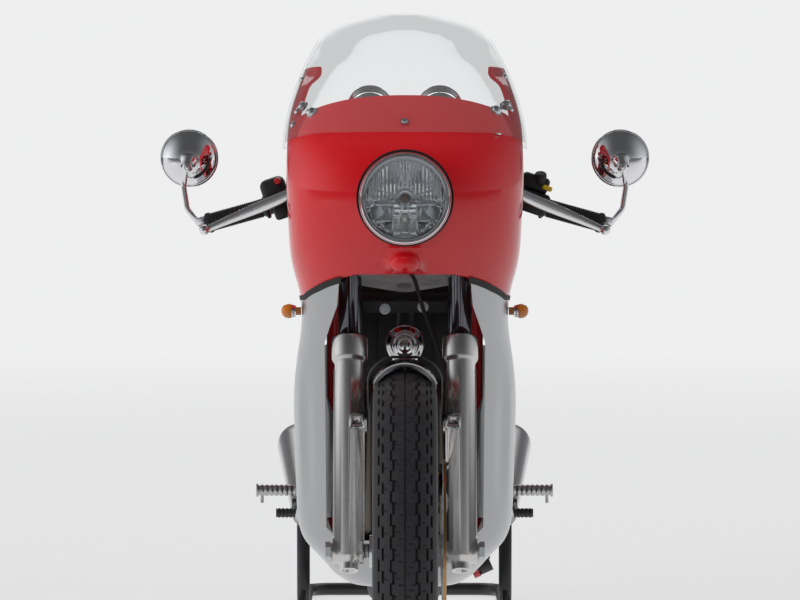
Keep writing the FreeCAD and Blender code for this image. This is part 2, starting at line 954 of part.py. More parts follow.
def lever_blade(stations):
    """A flat blade lofted along the bar through (length, ahead, above, half height, half depth)."""
    spots = [vector(bar_point(*station[:3])) for station in stations]
    along = (spots[-1] - spots[0]).normalize()
    across = along.cross(Vector(0, 0, 1)).normalize()
    upright = across.cross(along)
    turn = Rotation(upright, across, along, "ZXY")
    wires = []
    for spot, station in zip(spots, stations):
        ring = Part.Ellipse(CENTRE, station[3], station[4]).toShape()
        ring.Placement = Placement(spot, turn)
        wires.append(Part.Wire([ring]))
    return wires_loft("lever_blade", wires)


def make_bars():
    """Clip-on bars, grips, switch housings, levers and bar-end mirrors."""
    clamp = named("Part::Cylinder", "clip_clamp")
    bind(clamp, Radius=S.stanchion_radius + 10, Height=S.clamp_height)
    clamp_start = S.bar_height_on_leg - S.clamp_height / 2
    on_fork(clamp, x=S.leg_half_spacing, up=clamp_start)
    hole = named("Part::Cylinder", "clip_hole")
    bind(hole, Radius=S.stanchion_radius + S.fit, Height=S.clamp_height + 40)
    on_fork(hole, x=S.leg_half_spacing, up=clamp_start - 20)
    bar = rod("clip_bar", bar_point(Size(20)), bar_point(S.bar_length), S.bar_radius)
    clip = cut("clip_bored", fuse("clip_all", [clamp, bar]), hole)
    pair("clip_ons", clip)

    inner = S.bar_radius + S.fit
    start = bar_point(S.grip_start)
    stop = bar_point(S.bar_length)
    sleeve = rod("grip_sleeve", start, stop, S.grip_radius)
    flange = rod("grip_flange", start, bar_point(S.grip_start + 5), S.grip_radius + 5)
    core = rod("grip_core", bar_point(S.grip_start - 20), bar_point(S.bar_length + 20), inner)
    pair("grips", cut("grip_bored", fuse("grip_all", [sleeve, flange]), core))

    housing = rod("switch_housing", bar_point(S.grip_start - 42), bar_point(S.grip_start - 4),
                  Size(22))
    core = rod("switch_core", bar_point(S.grip_start - 60), bar_point(S.grip_start + 20), inner)
    pair("switchgear", cut("switch_bored", housing, core))

    perch = rod("lever_perch", bar_point(S.grip_start - 62), bar_point(S.grip_start - 44),
                Size(18))
    core = rod("perch_core", bar_point(S.grip_start - 90), bar_point(S.grip_start - 20), inner)
    reach = S.lever_reach
    arm = rod("lever_arm", bar_point(S.grip_start - 53, 14), bar_point(S.grip_start - 50, reach),
              Size(9))
    blade = lever_blade([
        (S.grip_start - 60, reach, 6, 9, 5),
        (S.grip_start - 20, reach + 2, 2, 10.5, 4.2),
        (S.grip_start + 50, reach + 7, -3, 8.5, 3.6),
        (S.bar_length - 4, reach + 13, -8, 6, 4),
    ])
    tip = ball("lever_tip", bar_point(S.bar_length + 4, reach + 14, -8), Size(9))
    lever = fuse("lever_all", [perch, arm, blade, tip])
    pair("levers", cut("lever_bored", lever, core))

    end = bar_point(S.bar_length + S.fit)
    knob = bar_point(S.bar_length + 14)
    head = (S.mirror_out, knob[1] + 38, S.mirror_height)
    weight = rod("bar_weight", end, knob, Size(15))
    stem = tube("mirror_stem", [
        knob,
        (knob[0] + 24, knob[1] + 2, knob[2] + 30),
        (knob[0] + 30, knob[1] + 4, knob[2] + 70),
        (knob[0] + 26, knob[1] + 4, S.mirror_height - 16),
    ], Size(5), bend=22)
    depth = 26
    shell = turned("mirror_shell", [
        (0, -depth),
        ("arc", S.mirror_radius * 0.7, -depth * 0.66),
        (S.mirror_radius - 2, -3),
        (S.mirror_radius, -3),
        (S.mirror_radius, 5),
        (0, 5),
    ], head, about="Y")
    joint_at = (S.mirror_out + 2, knob[1] + 2, S.mirror_height - 14)
    joint = ball("mirror_joint", joint_at, Size(10))
    neck = taper("mirror_neck", joint_at, (head[0], head[1] - depth + 6, head[2] - 3), Size(8),
                 Size(17))
    pair("mirrors", fuse("mirror_all", [weight, stem, joint, neck, shell]))


def make_front_mudguard():
    """A blade over the back of the front tyre, its hoop and the hoop's legs."""
    top = S.mudguard_radius
    half = S.mudguard_half_width
    wall = S.mudguard_wall
    edge = top - 38
    body, sketch = sketched("mudguard_blade", "XZ_Plane", [
        (-half, edge),
        ("arc", 0, top),
        (half, edge),
        (half - wall, edge),
        ("arc", 0, top - wall),
        (-half + wall, edge),
    ])
    blade = body.newObject("PartDesign::Revolution", "mudguard_turned")
    blade.Profile = sketch
    blade.ReferenceAxis = (sketch, ["H_Axis"])
    blade.Reversed = True
    bind(blade, Angle=S.mudguard_ahead + S.mudguard_behind)
    put(body, (0, FRONT_AXLE_Y, S.front_tyre_radius), tilt=-S.mudguard_ahead)
    node("front_mudguard", body)

    leg = S.leg_half_spacing - S.slider_radius - S.slider_lug - S.hoop_radius - S.running_gap
    foot = fork_point(leg, 0, 232)
    seat = float(top + S.hoop_radius + S.running_gap)
    level = S.front_tyre_radius + math.sqrt(seat ** 2 - float(S.hoop_back) ** 2)
    hoop = tube("hoop_tube", [
        foot,
        (leg, back(S.hoop_back), level),
        (-leg, back(S.hoop_back), level),
        (-foot[0], foot[1], foot[2]),
    ], S.hoop_radius, bend=50)
    node("mudguard_hoop", hoop)


def make_front_caliper():
    """A caliper that straddles the front disc behind the left slider."""
    disc_out = S.front_hub_half + S.disc_thickness / 2 + 4
    reach = S.front_disc_radius
    body = named("Part::Box", "caliper_block")
    bind(body, Length=Size(52), Width=Size(52), Height=Size(92))
    on_fork(body, disc_out - 24, 44, 84)
    slot = named("Part::Cylinder", "caliper_slot")
    bind(slot, Radius=reach + 5, Height=S.disc_thickness + 10)
    slot.Placement = Placement(
        vector((disc_out - S.disc_thickness / 2 - 5, FRONT_AXLE_Y, S.front_tyre_radius)),
        Rotation(Vector(0, 0, 1), Vector(1, 0, 0)),
    )
    caliper = cut("caliper_slotted", body, slot)
    ear = named("Part::Box", "caliper_ear")
    bind(ear, Length=Size(16), Width=Size(30), Height=Size(70))
    on_fork(ear, S.leg_half_spacing - 8, S.slider_radius + S.fit, 95)
    node("front_caliper", fuse("caliper_all", [caliper, ear]))


def fairing_edge():
    """The seam between the upper and lower fairing, seen from the side."""
    return [(-100, 802), (50, 799), (105, 776), (155, 760), (430, 752)]


def make_upper_fairing():
    """The upper fairing: a blunt nose, hand recesses and wings beside the screen."""
    rows = [row for row in SKIN if row[0] >= 700]
    shell = nose_shell("upper", rows, 0.0, float(S.fairing_wall), SKIN_REACH, SKIN_REAR, 2.0)
    seam = fairing_edge()
    kept = side_prism("upper_side", seam + [
        (425, 790),
        (330, 822),
        (215, 838),
        (170, 870),
        (156, 930),
        (166, 985),
        (215, 1022),
        (330, 1046),
        (385, 1100),
        (380, 1161),
        (262, 1166),
        (142, 1070),
        (104, 1119),
        (-100, 1119),
    ])
    skin = common("upper_trimmed", shell, kept)
    opening = rod(
        "headlight_opening",
        (0, back(-120), S.headlight_height),
        (0, back(90), S.headlight_height),
        S.headlight_rim_radius + S.headlight_gasket + S.fit,
    )
    bump = named("Part::Ellipsoid", "nose_bump")
    put(bump, (0, back(24), 820))
    bind(bump, Radius1=Size(22), Radius2=Size(28), Radius3=Size(22))
    node("upper_fairing", fuse("upper_all", [cut("upper_opened", skin, opening), bump]))


def make_lower_fairing():
    """The lower fairing: two sides and a belly, open round the wheel and fork."""
    rows = [row for row in SKIN if row[0] <= 830]
    shell = nose_shell("lower", rows, 0.0, float(S.fairing_wall), SKIN_REACH, SKIN_REAR, -4.0)
    seam = [(at, height - float(S.trim_thickness)) for at, height in fairing_edge()]
    kept = side_prism("lower_side", seam + [(640, 745), (840, 600), (836, 420), (790, 330),
                                            (738, 300), (730, 180), (-100, 180)])
    skin = common("lower_trimmed", shell, kept)
    opening = front_prism("wheel_opening", [
        (-112, 818), (-119, 738), (-131, 703), (-142, 668), (-142, 318), (-120, 296),
        (120, 296), (142, 318), (142, 668), (131, 703), (119, 738), (112, 818),
    ], Size(-100), Size(520))
    node("lower_fairing", cut("lower_opened", skin, opening))

    rows = [row for row in SKIN if 640 <= row[0] <= 900]
    strip = nose_shell("trim", rows, 1.5, 7.0, SKIN_REACH, SKIN_REAR, 0.0)
    top = fairing_edge()
    bottom = [(at, height - float(S.trim_thickness)) for at, height in reversed(top)]
    band = side_prism("trim_band", top + bottom)
    opening = front_prism("trim_opening", [(-112, 850), (-112, 690), (112, 690), (112, 850)],
                          Size(-100), Size(700))
    node("fairing_trim", cut("trim_opened", common("trim_cut", strip, band), opening))


def make_windscreen():
    """A clear bubble screen outside the upper fairing."""
    shell = nose_shell("screen", SCREEN, 3.2, float(S.screen_wall), SKIN_REACH, 640, 3.0)
    kept = side_prism("screen_side", [
        (-60, 1300), (-60, 1050), (60, 1046), (180, 1018), (300, 1024), (318, 1060),
        (330, 1136), (362, 1200), (366, 1300),
    ])
    bubble = common("screen_trimmed", shell, kept)
    rows = [row for row in SKIN if row[0] >= 700]
    seat = nose_loft("screen_seat", rows, float(S.running_gap), SKIN_REACH, SKIN_REAR)
    node("windscreen", cut("screen_seated", bubble, seat))


def make_headlight():
    """Bowl, bright rim, clear lens and the gasket against the fairing."""
    z = S.headlight_height
    place = (Size(0), back(0), z)
    rim_out = S.headlight_rim_radius
    glass = S.headlight_glass_radius
    gasket = turned("headlight_gasket_body", [
        (rim_out + S.fit, -14),
        (rim_out + S.fit, 26),
        (rim_out + S.headlight_gasket, 26),
        (rim_out + S.headlight_gasket, -14),
    ], place, about="Y")
    node("headlight_gasket", gasket)
    rim = turned("headlight_rim_body", [
        (glass + S.fit, -34),
        ("arc", (glass + rim_out) / 2, -44),
        (rim_out, -30),
        (rim_out, 10),
        (glass + 6, 10),
        (glass + 6, -20),
        (glass + S.fit, -20),
    ], place, about="Y")
    node("headlight_rim", rim)
    depth = 16
    half = float(glass) / 2
    curve = (float(glass) ** 2 + depth ** 2) / (2 * depth)
    drop = curve - math.sqrt(curve ** 2 - half ** 2)
    lens = turned("headlight_lens_body", [
        (0, -44),
        ("arc", half, drop - 44),
        (glass, depth - 44),
        (glass, depth - 40),
        ("arc", half, drop - 40),
        (0, -40),
    ], place, about="Y")
    node("headlight_lens", lens)
    bowl = turned("headlight_bowl_body", [
        (glass + 5.8, -19),
        (glass + 5.8, 8),
        ("arc", glass * 0.86, 56),
        (24, 92),
        (0, 92),
        (0, 88),
        (22, 88),
        ("arc", glass * 0.8, 52),
        (glass + 2.2, 8),
        (glass + 2.2, -19),
    ], place, about="Y")
    node("headlight_bowl", bowl)


def make_gauges():
    """Two instrument cups behind the lip of the fairing, on one bracket."""
    rim = S.gauge_radius
    cup = turned("gauge_cup", [
        (0, -30),
        (18, -30),
        ("arc", 34, -20),
        (rim - 2, -2),
        (rim - 2, 8),
        (rim, 10),
        (rim, 26),
        (rim - 5, 26),
        (rim - 5, 20),
        (0, 20),
    ], (S.gauge_half_spacing, back(212), S.gauge_height), about="Y")
    body_turn = Rotation(Vector(1, 0, 0), 20)
    cup.Placement = Placement(cup.Placement.Base, body_turn)
    pair("gauges", cup)


def make_fairing_stay():
    """The bracket from the head tube to the headlight and instruments."""
    seat = S.fork_offset - S.stem_radius - S.running_gap - S.head_tube_wall - 3.2
    spine = rod("stay_spine", fork_point(0, seat, 655), (0, back(96), 940), Size(11))
    level = S.gauge_height - 41.6
    mast = rod("stay_mast", (0, back(140), 930), (0, back(196), level + 2), Size(8))
    bar = rod("stay_bar", (-70, back(194), level), (70, back(194), level), Size(7))
    reach = S.nose_half_width - S.fairing_wall - S.running_gap
    cross = rod("stay_cross", (-reach, back(120), 936), (reach, back(120), 936), Size(8))
    node("fairing_stay", fuse("stay_all", [spine, mast, bar, cross]))


def make_frame():
    """A duplex cradle frame with head tube, pivot plates and rear rails."""
    wide = S.cradle_half_width
    rail = S.rail_half_width
    radius = S.frame_tube_radius
    head_start = S.lower_yoke_start + S.lower_yoke_thickness + S.head_tube_gap
    head_stop = S.upper_yoke_start - S.head_tube_gap
    head = named("Part::Cylinder", "head_tube")
    bind(head, Radius=S.stem_radius + S.running_gap + S.head_tube_wall,
         Height=head_stop - head_start)
    on_fork(head, behind=S.fork_offset, up=head_start)
    bore = named("Part::Cylinder", "head_bore")
    bind(bore, Radius=S.stem_radius + S.running_gap, Height=S.stanchion_top)
    on_fork(bore, behind=S.fork_offset, up=head_start - 50)
    pieces = [head]
    cradle = tube("cradle", [
        (14, back(292), 826),
        (wide, back(350), 738),
        (wide, back(398), 330),
        (wide - S.cradle_inset, back(460), 264),
        (wide - S.cradle_inset, back(800), 264),
        (rail, back(880), 330),
        (rail, back(925), 740),
    ], radius, bend=55)
    top = tube("top_rail", [
        (14, back(322), 905),
        (96, back(470), 742),
        (rail, back(640), 744),
        (rail, back(960), 744),
        (104, back(1330), 756),
    ], radius, bend=80)
    pieces += [top, mirrored(top)]
    upper = cut("frame_bored", fuse("frame_all", pieces), bore)
    node("frame", upper)

    plate = padded("pivot_plate", "YZ_Plane", [
        (back(850), 318), (back(935), 300), (back(940), 420), (back(880), 430),
    ], Size(12), (rail, 0, 0))
    reach = S.prop_eye_half + S.running_gap
    boss = rod("prop_boss", prop_point(-reach - 12), prop_point(-reach), Size(17))
    low = wide - S.cradle_inset
    lug = block("prop_lug", (low + 8, back(S.prop_back - 18), S.prop_height - 12),
                (low + 26, back(S.prop_back + 18), S.prop_height + 70))
    reach = S.seam_half_width - S.fairing_wall - S.running_gap
    peg = rod("fairing_peg", (wide, back(S.front_cross_back), S.fairing_peg_height),
              (reach, back(S.front_cross_back), S.fairing_peg_height), S.fairing_peg_radius)
    left = fuse("cradle_left", [cradle, plate, peg, boss, lug])
    right = fuse("cradle_right", [mirrored(cradle), mirrored(plate), mirrored(peg)])
    sides = together("cradle_sides", [
        cut("cradle_left_cut", cut("cradle_left_bored", left, bore), upper),
        cut("cradle_right_cut", cut("cradle_right_bored", right, bore), upper),
    ])
    node("cradle", sides)

    brace = rod("rear_brace", (rail, back(905), 560), (108, back(1180), 750), Size(11))
    struts = [brace, mirrored(brace)]
    crosses = [
        (rail, Size(915), 640),
        (wide, S.front_cross_back, S.front_cross_height),
        (rail, Size(700), 748.7),
        (108, Size(1100), 752.7),
        (105, Size(1300), 756),
    ]
    for number, (x, at, z) in enumerate(crosses):
        ends = ((-x, back(at), z), (x, back(at), z))
        struts.append(rod("cross_%d" % number, *ends, S.cross_radius))
    others = together("frame_and_cradle", [upper, sides])
    node("frame_struts", cut("struts_cut", together("struts_all", struts), others))
    width = S.cradle_half_width - S.frame_tube_radius - S.running_gap
    engine = block("engine", (-width, back(S.engine_front), 300), (width, back(745), 640))
    gearbox = block("gearbox", (36, back(740), 326), (76, back(835), 402))
    shaft = rod("output_shaft", (70, back(S.front_sprocket_back), S.pivot_height + 4),
                (S.chain_out + 3, back(S.front_sprocket_back), S.pivot_height + 4), Size(12))
    sprocket = rod("front_sprocket",
                   (S.chain_out - 3, back(S.front_sprocket_back), S.pivot_height + 4),
                   (S.chain_out + 3, back(S.front_sprocket_back), S.pivot_height + 4),
                   S.front_sprocket_radius)
    node("engine_block", fuse("engine_all", [engine, gearbox, shaft, sprocket]))


def make_rear():
    """Swingarm, shocks, chain run, tank, seat, tail and rear mudguard."""
    inner = S.swingarm_inner
    half = S.swingarm_width / 2
    mid = inner + half
    height = S.swingarm_height / 2
    arm = padded("swing_side", "YZ_Plane", [
        (back(S.pivot_back) + 52, S.pivot_height - height),
        (back(S.wheelbase) + 45, REAR_AXLE_Z - height),
        (back(S.wheelbase) + 45, REAR_AXLE_Z + height),
        (back(S.pivot_back) + 52, S.pivot_height + height),
    ], S.swingarm_width, (mid, 0, 0))
    cross = block("swing_cross", (-inner - 2, back(958), S.pivot_height - 22),
                  (inner + 2, back(1002), S.pivot_height + 22))
    reach = S.rail_half_width - S.frame_tube_radius - S.running_gap
    pivot = rod("swing_pivot", (-reach, back(S.pivot_back), S.pivot_height),
                (reach, back(S.pivot_back), S.pivot_height), Size(23))
    link = block("swing_link", (58, back(S.pivot_back), S.pivot_height - 21),
                 (78, back(962), S.pivot_height + 21))
    hole = rod("swing_hole", (-200, back(S.wheelbase), REAR_AXLE_Z),
               (200, back(S.wheelbase), REAR_AXLE_Z), S.axle_radius + S.fit)
    swing = fuse("swing_all", [arm, mirrored(arm), cross, pivot, link, mirrored(link)])
    node("swingarm", cut("swing_bored", swing, hole))

    out = S.swingarm_inner + S.swingarm_width + 4
    low = (out, back(S.shock_low_back), S.shock_low_height)
    neck = (out, back(S.shock_neck_back), S.shock_neck_height)
    high = (out, back(S.shock_high_back), S.shock_high_height)
    body = rod("shock_body", low, neck, Size(20))
    coils = 9
    pitch = 27
    outline = [(0, 0)]
    for coil in range(coils):
        base = coil * pitch
        outline += [(19, base), (24, base + 6), (24, base + 13), (19, base + 19)]
    outline += [(19, coils * pitch), (0, coils * pitch)]
    spring = turned("shock_spring", outline, about="Z")
    lean = math.atan2(float(low[1] - high[1]), float(high[2] - low[2]))
    put(spring, (out, back(S.shock_low_back - 22), S.shock_low_height + 64),
        tilt=Size(-math.degrees(lean)))
    shaft = rod("shock_shaft", neck, high, Size(10))
    eye = Size(14)
    eye_low = rod("shock_eye_low", (out - 13, low[1], low[2]), (out + 13, low[1], low[2]), eye)
    eye_high = rod("shock_eye_high", (out - 12.6, high[1], high[2]), (out + 13, high[1], high[2]), eye)
    pair("rear_shocks", fuse("shock_all", [body, spring, shaft, eye_low, eye_high]))

    tank = lofted_ovals("tank", [
        (440, 900, 62, 34),
        (500, 880, 118, 92),
        (580, 874, 146, 114),
        (700, 872, 150, 112),
        (820, 852, 128, 90),
        (915, 812, 92, 50),
        (935, 806, 70, 36),
    ])
    cap = turned("tank_cap", [
        (0, 0), (34, 0), (34, 8), (30, 12), (30, 19), (26, 22), (0, 22),
    ], (0, back(600), 978), about="Z")
    node("fuel_tank", fuse("tank_all", [tank, cap]))
    node("seat_pad", lofted_ovals("seat", [
        (948, 794.3, 92, 14),
        (1000, 799.3, 110, 19),
        (1120, 802.3, 116, 22),
        (1219, 808, 108, 24),
    ]))
    hump = lofted_ovals("tail", [
        (1220, 822, 114, 56),
        (1290, 842, 120, 72),
        (1400, 848, 108, 62),
        (1490, 856, 80, 40),
        (1530, 860, 52, 22),
    ])
    base = lofted_ovals("tail_base", [
        (944, 772, 96, 8),
        (1000, 772, 114, 8),
        (1120, 772, 118, 8),
        (1260, 776, 112, 8),
    ])
    node("tail_unit", fuse("tail_all", [hump, base]))
    lamp = turned("tail_lamp_body", [
        (0, 0), (20, 0), (20, 6), (22, 8), (22, 18), (17, 24), (9, 27), (0, 27),
    ], (0, back(S.tail_end_back + S.running_gap), S.tail_end_height), about="Y")
    node("tail_lamp", lamp)
    at = back(S.rear_indicator_back)
    height = S.rear_indicator_height
    bulb = ball("rear_indicator_lamp", (S.rear_indicator_out, at, height), S.rear_indicator_radius)
    stem = rod("rear_indicator_stem", (S.rear_indicator_stem, at, height),
               (S.rear_indicator_out - 10, at, height), Size(6))
    pair("rear_indicators", fuse("rear_indicator_all", [bulb, stem]))


def make_rear_mudguard():
    """A blade round the rear tyre, hung from the rails, with a blank plate at its end."""
    top = S.rear_mudguard_radius
    half = S.rear_mudguard_half_width
    wall = S.rear_mudguard_wall
    edge = top - S.rear_mudguard_drop
    body, sketch = sketched("rear_blade", "XZ_Plane", [
        (-half, edge),
        ("arc", 0, top),
        (half, edge),
        (half - wall, edge),
        ("arc", 0, top - wall),
        (-half + wall, edge),
    ])
    blade = body.newObject("PartDesign::Revolution", "rear_blade_turned")
    blade.Profile = sketch
    blade.ReferenceAxis = (sketch, ["H_Axis"])
    blade.Reversed = True
    bind(blade, Angle=S.rear_mudguard_ahead + S.rear_mudguard_behind)
    put(body, (0, back(S.wheelbase), REAR_AXLE_Z), tilt=-S.rear_mudguard_ahead)
    ahead = 110
    out = 20
    sag = float(S.rear_mudguard_drop) * (out / float(half)) ** 2
    seat = REAR_AXLE_Z + math.sqrt((float(top) - sag) ** 2 - ahead ** 2) - wall / 2
    hanger = rod("mudguard_hanger", (out, back(S.wheelbase - ahead), seat),
                 (out, back(S.wheelbase - ahead), 745 - S.running_gap), Size(6))
    lean = S.rear_mudguard_behind
    tip_back = back(S.wheelbase) + top * sine(lean)
    tip_up = REAR_AXLE_Z + top * cosine(lean)
    plate = block("plate_blank", (-85, tip_back - 5, tip_up - 4), (85, tip_back - 2, tip_up + 136))
    node("rear_mudguard", fuse("rear_mudguard_all", [body, hanger, mirrored(hanger), plate]))


def make_rear_caliper():
    """A caliper over the rear disc, on a bracket that sits on the swingarm."""
    mid = S.rear_hub_half + S.disc_thickness / 2 + 4
    at = back(S.wheelbase - 65)
    arm_top = REAR_AXLE_Z + S.swingarm_height / 2 + 1.2
    body = block("rear_caliper_block", (-mid - 25, at - 27, REAR_AXLE_Z + 46),
                 (-mid + 22, at + 27, REAR_AXLE_Z + 94))
    slot = rod("rear_caliper_slot", (-mid - 7.5, back(S.wheelbase), REAR_AXLE_Z),
               (-mid + 7.5, back(S.wheelbase), REAR_AXLE_Z), S.rear_disc_radius + 5)
    bracket = block("rear_caliper_bracket", (-S.swingarm_inner - 10, at - 15, arm_top),
                    (-mid - 20, at + 15, REAR_AXLE_Z + 84))
    node("rear_caliper", fuse("rear_caliper_all", [cut("rear_caliper_cut", body, slot), bracket]))


def make_brake_hose():
    """The hose from the master cylinder round the front of the yoke to the caliper."""
    end = fork_point(76, 68, 176 + S.running_gap)
    above = fork_point(80, 66, 262)
    points = [
        (-150, back(282), 912),
        (-116, back(240), 893),
        (-70, back(208), 860),
        (-24, back(197), 826),
        (16, back(197), 782),
        (32, back(206), 726),
        (54, back(207), 668),
        (74, back(196), 606),
        above,
        end,
    ]
    hose = tube("hose", points, S.brake_hose_radius, bend=34)
    node("brake_hose", hose)
    doc.recompute()
    length = route(points, 34).Length
    ideal = length * math.pi * float(S.brake_hose_radius) ** 2
    if abs(hose.Shape.Volume / ideal - 1) > 0.02:
        raise RuntimeError("the hose's volume is off")


def make_chain():
    """Sprockets and the chain's closed run."""
    out = S.chain_out
    rear = (out, back(S.wheelbase), REAR_AXLE_Z)
    front = (out, back(S.front_sprocket_back), S.pivot_height + 4)
    sprocket = rod("sprocket_blank", (out - 3, rear[1], rear[2]), (out + 3, rear[1], rear[2]),
                   S.rear_sprocket_radius)
    hub = rod("sprocket_hub", (S.rear_hub_half, rear[1], rear[2]), (out - 3, rear[1], rear[2]),
              Size(45))
    hole = rod("sprocket_hole", (0, rear[1], rear[2]), (200, rear[1], rear[2]), S.axle_radius + 2)
    holes = [hole]
    for number in range(6):
        angle = math.radians(60 * number)
        y = rear[1] + 62 * math.cos(angle)
        z = rear[2] + 62 * math.sin(angle)
        holes.append(rod("sprocket_window_%d" % number, (out - 6, y, z), (out + 6, y, z), Size(11)))
    blank = fuse("sprocket_all", [sprocket, hub])
    node("rear_sprocket", cut("sprocket_bored", blank, together("sprocket_holes", holes)))
    big = float(S.rear_sprocket_radius) + 9
    small = float(S.front_sprocket_radius) + 9
    shapes = []
    for grow in (0.0, -8.0):
        wheel = Part.makeCylinder(big + grow, 14, vector((out - 7, rear[1], rear[2])), Vector(1, 0, 0))
        nose = Part.makeCylinder(small + grow, 14, vector((out - 7, front[1], front[2])),
                                 Vector(1, 0, 0))
        run = vector(rear) - vector(front)
        angle = math.acos((big - small) / run.Length)
        tilt = math.atan2(run.z, run.y)
        corners = []
        for sign in (1, -1):
            for centre, radius in ((rear, big + grow), (front, small + grow)):
                turn = tilt + math.pi - sign * angle
                corners.append(Vector(
                    float(out) - 7,
                    float(centre[1]) + radius * math.cos(turn),
                    float(centre[2]) + radius * math.sin(turn),
                ))
        order = [corners[0], corners[1], corners[3], corners[2], corners[0]]
        web = Part.Face(Part.makePolygon(order)).extrude(Vector(14, 0, 0))
        shapes.append(wheel.fuse([nose, web]).removeSplitter())
    chain = named("Part::Feature", "chain_run")
    chain.Shape = shapes[0].cut(shapes[1])
    node("chain", chain)


def make_exhaust():
    """Twin pipes under the engine and an upswept silencer each side."""
    start = (S.silencer_start_out, back(S.silencer_start_back), S.silencer_start_height)
    stop = (S.silencer_out, back(S.silencer_end_back), S.silencer_end_height)
    length = distance(start, stop)

    def along(reach):
        return tuple(a + (b - a) * reach / length for a, b in zip(start, stop))

    pipe = tube("pipe", [
        (62, back(S.engine_front - S.running_gap), 560),
        (62, back(388), 560),
        (62, back(392), 300),
        (62, back(440), 262),
        (62, back(850), 256),
        along(-44),
        along(-S.running_gap),
    ], S.exhaust_pipe_radius, bend=24)
    pair("exhaust_pipes", pipe)
    end = S.silencer_end_radius
    cone = taper("silencer", along(0), along(length), S.silencer_start_radius, end)
    cap = taper("silencer_cap", along(length), along(length + 22), end, end - 9)
    bore = rod("silencer_bore", along(length - 30), along(length + 30), Size(19))
    pair("silencers", cut("silencer_bored", fuse("silencer_all", [cone, cap]), bore))


def ringed(name, start, stop, radius, depth, count, point):
    """A bar along X with even grooves round it."""
    pitch = (stop - start) / count
    outline = [(start, 0), (start, radius)]
    for number in range(count):
        groove = start + (number + 0.35) * pitch
        outline += [(groove, radius), (groove + 0.3 * pitch, radius - depth),
                    (groove + 0.5 * pitch, radius - depth), (groove + 0.6 * pitch, radius)]
    outline += [(stop, radius), (stop, 0)]
    return turned(name, outline, point)


def make_footrests():
    """Plates, pegs and foot levers behind the fairing."""
    at = S.peg_back
    level = S.peg_height
    plate = padded("rest_plate", "YZ_Plane", [
        (back(at - 30), level - 24), (back(at + 30), level - 24), (back(at + 62), level + 62),
        (back(at + 10), level + 72),
    ], Size(8), (S.peg_plate_out, 0, 0))
    bolt = rod("rest_spacer", (S.rail_half_width + 6 + S.running_gap, back(915), 385),
               (S.peg_plate_out - 4, back(915), 385), Size(10))
    start = S.peg_start
    end = S.peg_end
    peg = ringed("peg_bar", start, end, S.peg_radius, 1.6, 8, (0, back(at), level))
    collar = rod("peg_collar", (S.peg_plate_out + 2, back(at), level),
                 (start + 2, back(at), level), S.peg_radius + 4)
    cap = rod("peg_cap", (end - 1, back(at), level), (end + 3, back(at), level), S.peg_radius + 1.5)
    pin = rod("peg_pin", (end - 8, back(at), level), (end - 8, back(at), level - 24), Size(3))
    pair("rearsets", fuse("rest_all", [plate, bolt, peg, collar, cap, pin]))
    low = level - S.foot_lever_drop
    pedal = (back(S.pedal_back), S.pedal_height)
    arm = rod("foot_arm", (209, back(at), low), (209, pedal[0] + 5, pedal[1]), Size(5))
    boss = rod("foot_boss", (S.peg_plate_out + 4 + S.running_gap, back(at), low),
               (215, back(at), low), Size(8))
    rubber = ringed("foot_rubber", 205, 241, 9, 1.2, 5, (0, pedal[0], pedal[1]))
    pair("foot_levers", fuse("foot_all", [arm, boss, rubber]))


def make_paddock_stand():
    """A floor stand under the swingarm: uprights, rails, a rear handle and rollers."""
    out = S.stand_half_width
    radius = S.stand_tube_radius
    y = back(S.stand_back)
    floor = S.roller_radius
    under = REAR_AXLE_Z - S.swingarm_height / 2
    frame = tube("stand_rail", [
        (out, y, S.stand_upright_top),
        (out, y, floor + 12),
        (out, back(S.wheelbase + S.stand_reach) - radius, floor - 8),
        (-out, back(S.wheelbase + S.stand_reach) - radius, floor - 8),
        (-out, y, floor + 12),
        (-out, y, S.stand_upright_top),
    ], radius, bend=55)
    pieces = [frame]
    outer = S.swingarm_inner + S.swingarm_width
    pad = block("stand_pad", (S.swingarm_inner - 4, y - 30, under - 10), (outer + 6, y + 30, under))
    post = rod("stand_post", (out, y, S.stand_upright_top - 4),
               (outer - S.swingarm_width / 2, y, under - 8), Size(10))
    cheek = block("roller_cheek", (out - 5, y - 14, floor - 12), (out + 5, y + 60, floor + 50))
    axle = rod("roller_axle", (out - 4, y, floor), (out + 40, y, floor), Size(6))
    roller = rod("roller", (out + 16, y, floor), (out + 38, y, floor), S.roller_radius)
    for item in (pad, post, cheek, axle, roller):
        pieces += [item, mirrored(item)]
    node("paddock_stand", fuse("stand_all", pieces))


def prop_point(along, x=0.0, behind=0.0, up=0.0):
    """A place on the side stand's pivot axis, or off it by whole-machine lengths."""
    return (
        S.prop_out + along * sine(S.prop_splay) + x,
        back(S.prop_back) + behind,
        S.prop_height + along * cosine(S.prop_splay) + up,
    )


def make_side_stand():
    """A side stand folded back along the left side of the cradle."""
    half = S.prop_eye_half
    eye = rod("prop_eye", prop_point(-half), prop_point(half), Size(15))
    leg = rod("prop_leg", prop_point(Size(0)), prop_point(Size(0), -3, S.prop_length, 10), Size(10))
    foot = prop_point(Size(0), -22, S.prop_length - 15, -8)
    pad = block("prop_pad", foot, (foot[0] + 36, foot[1] + 36, foot[2] + 20))
    node("side_stand", fuse("prop_all", [leg, eye, pad]))


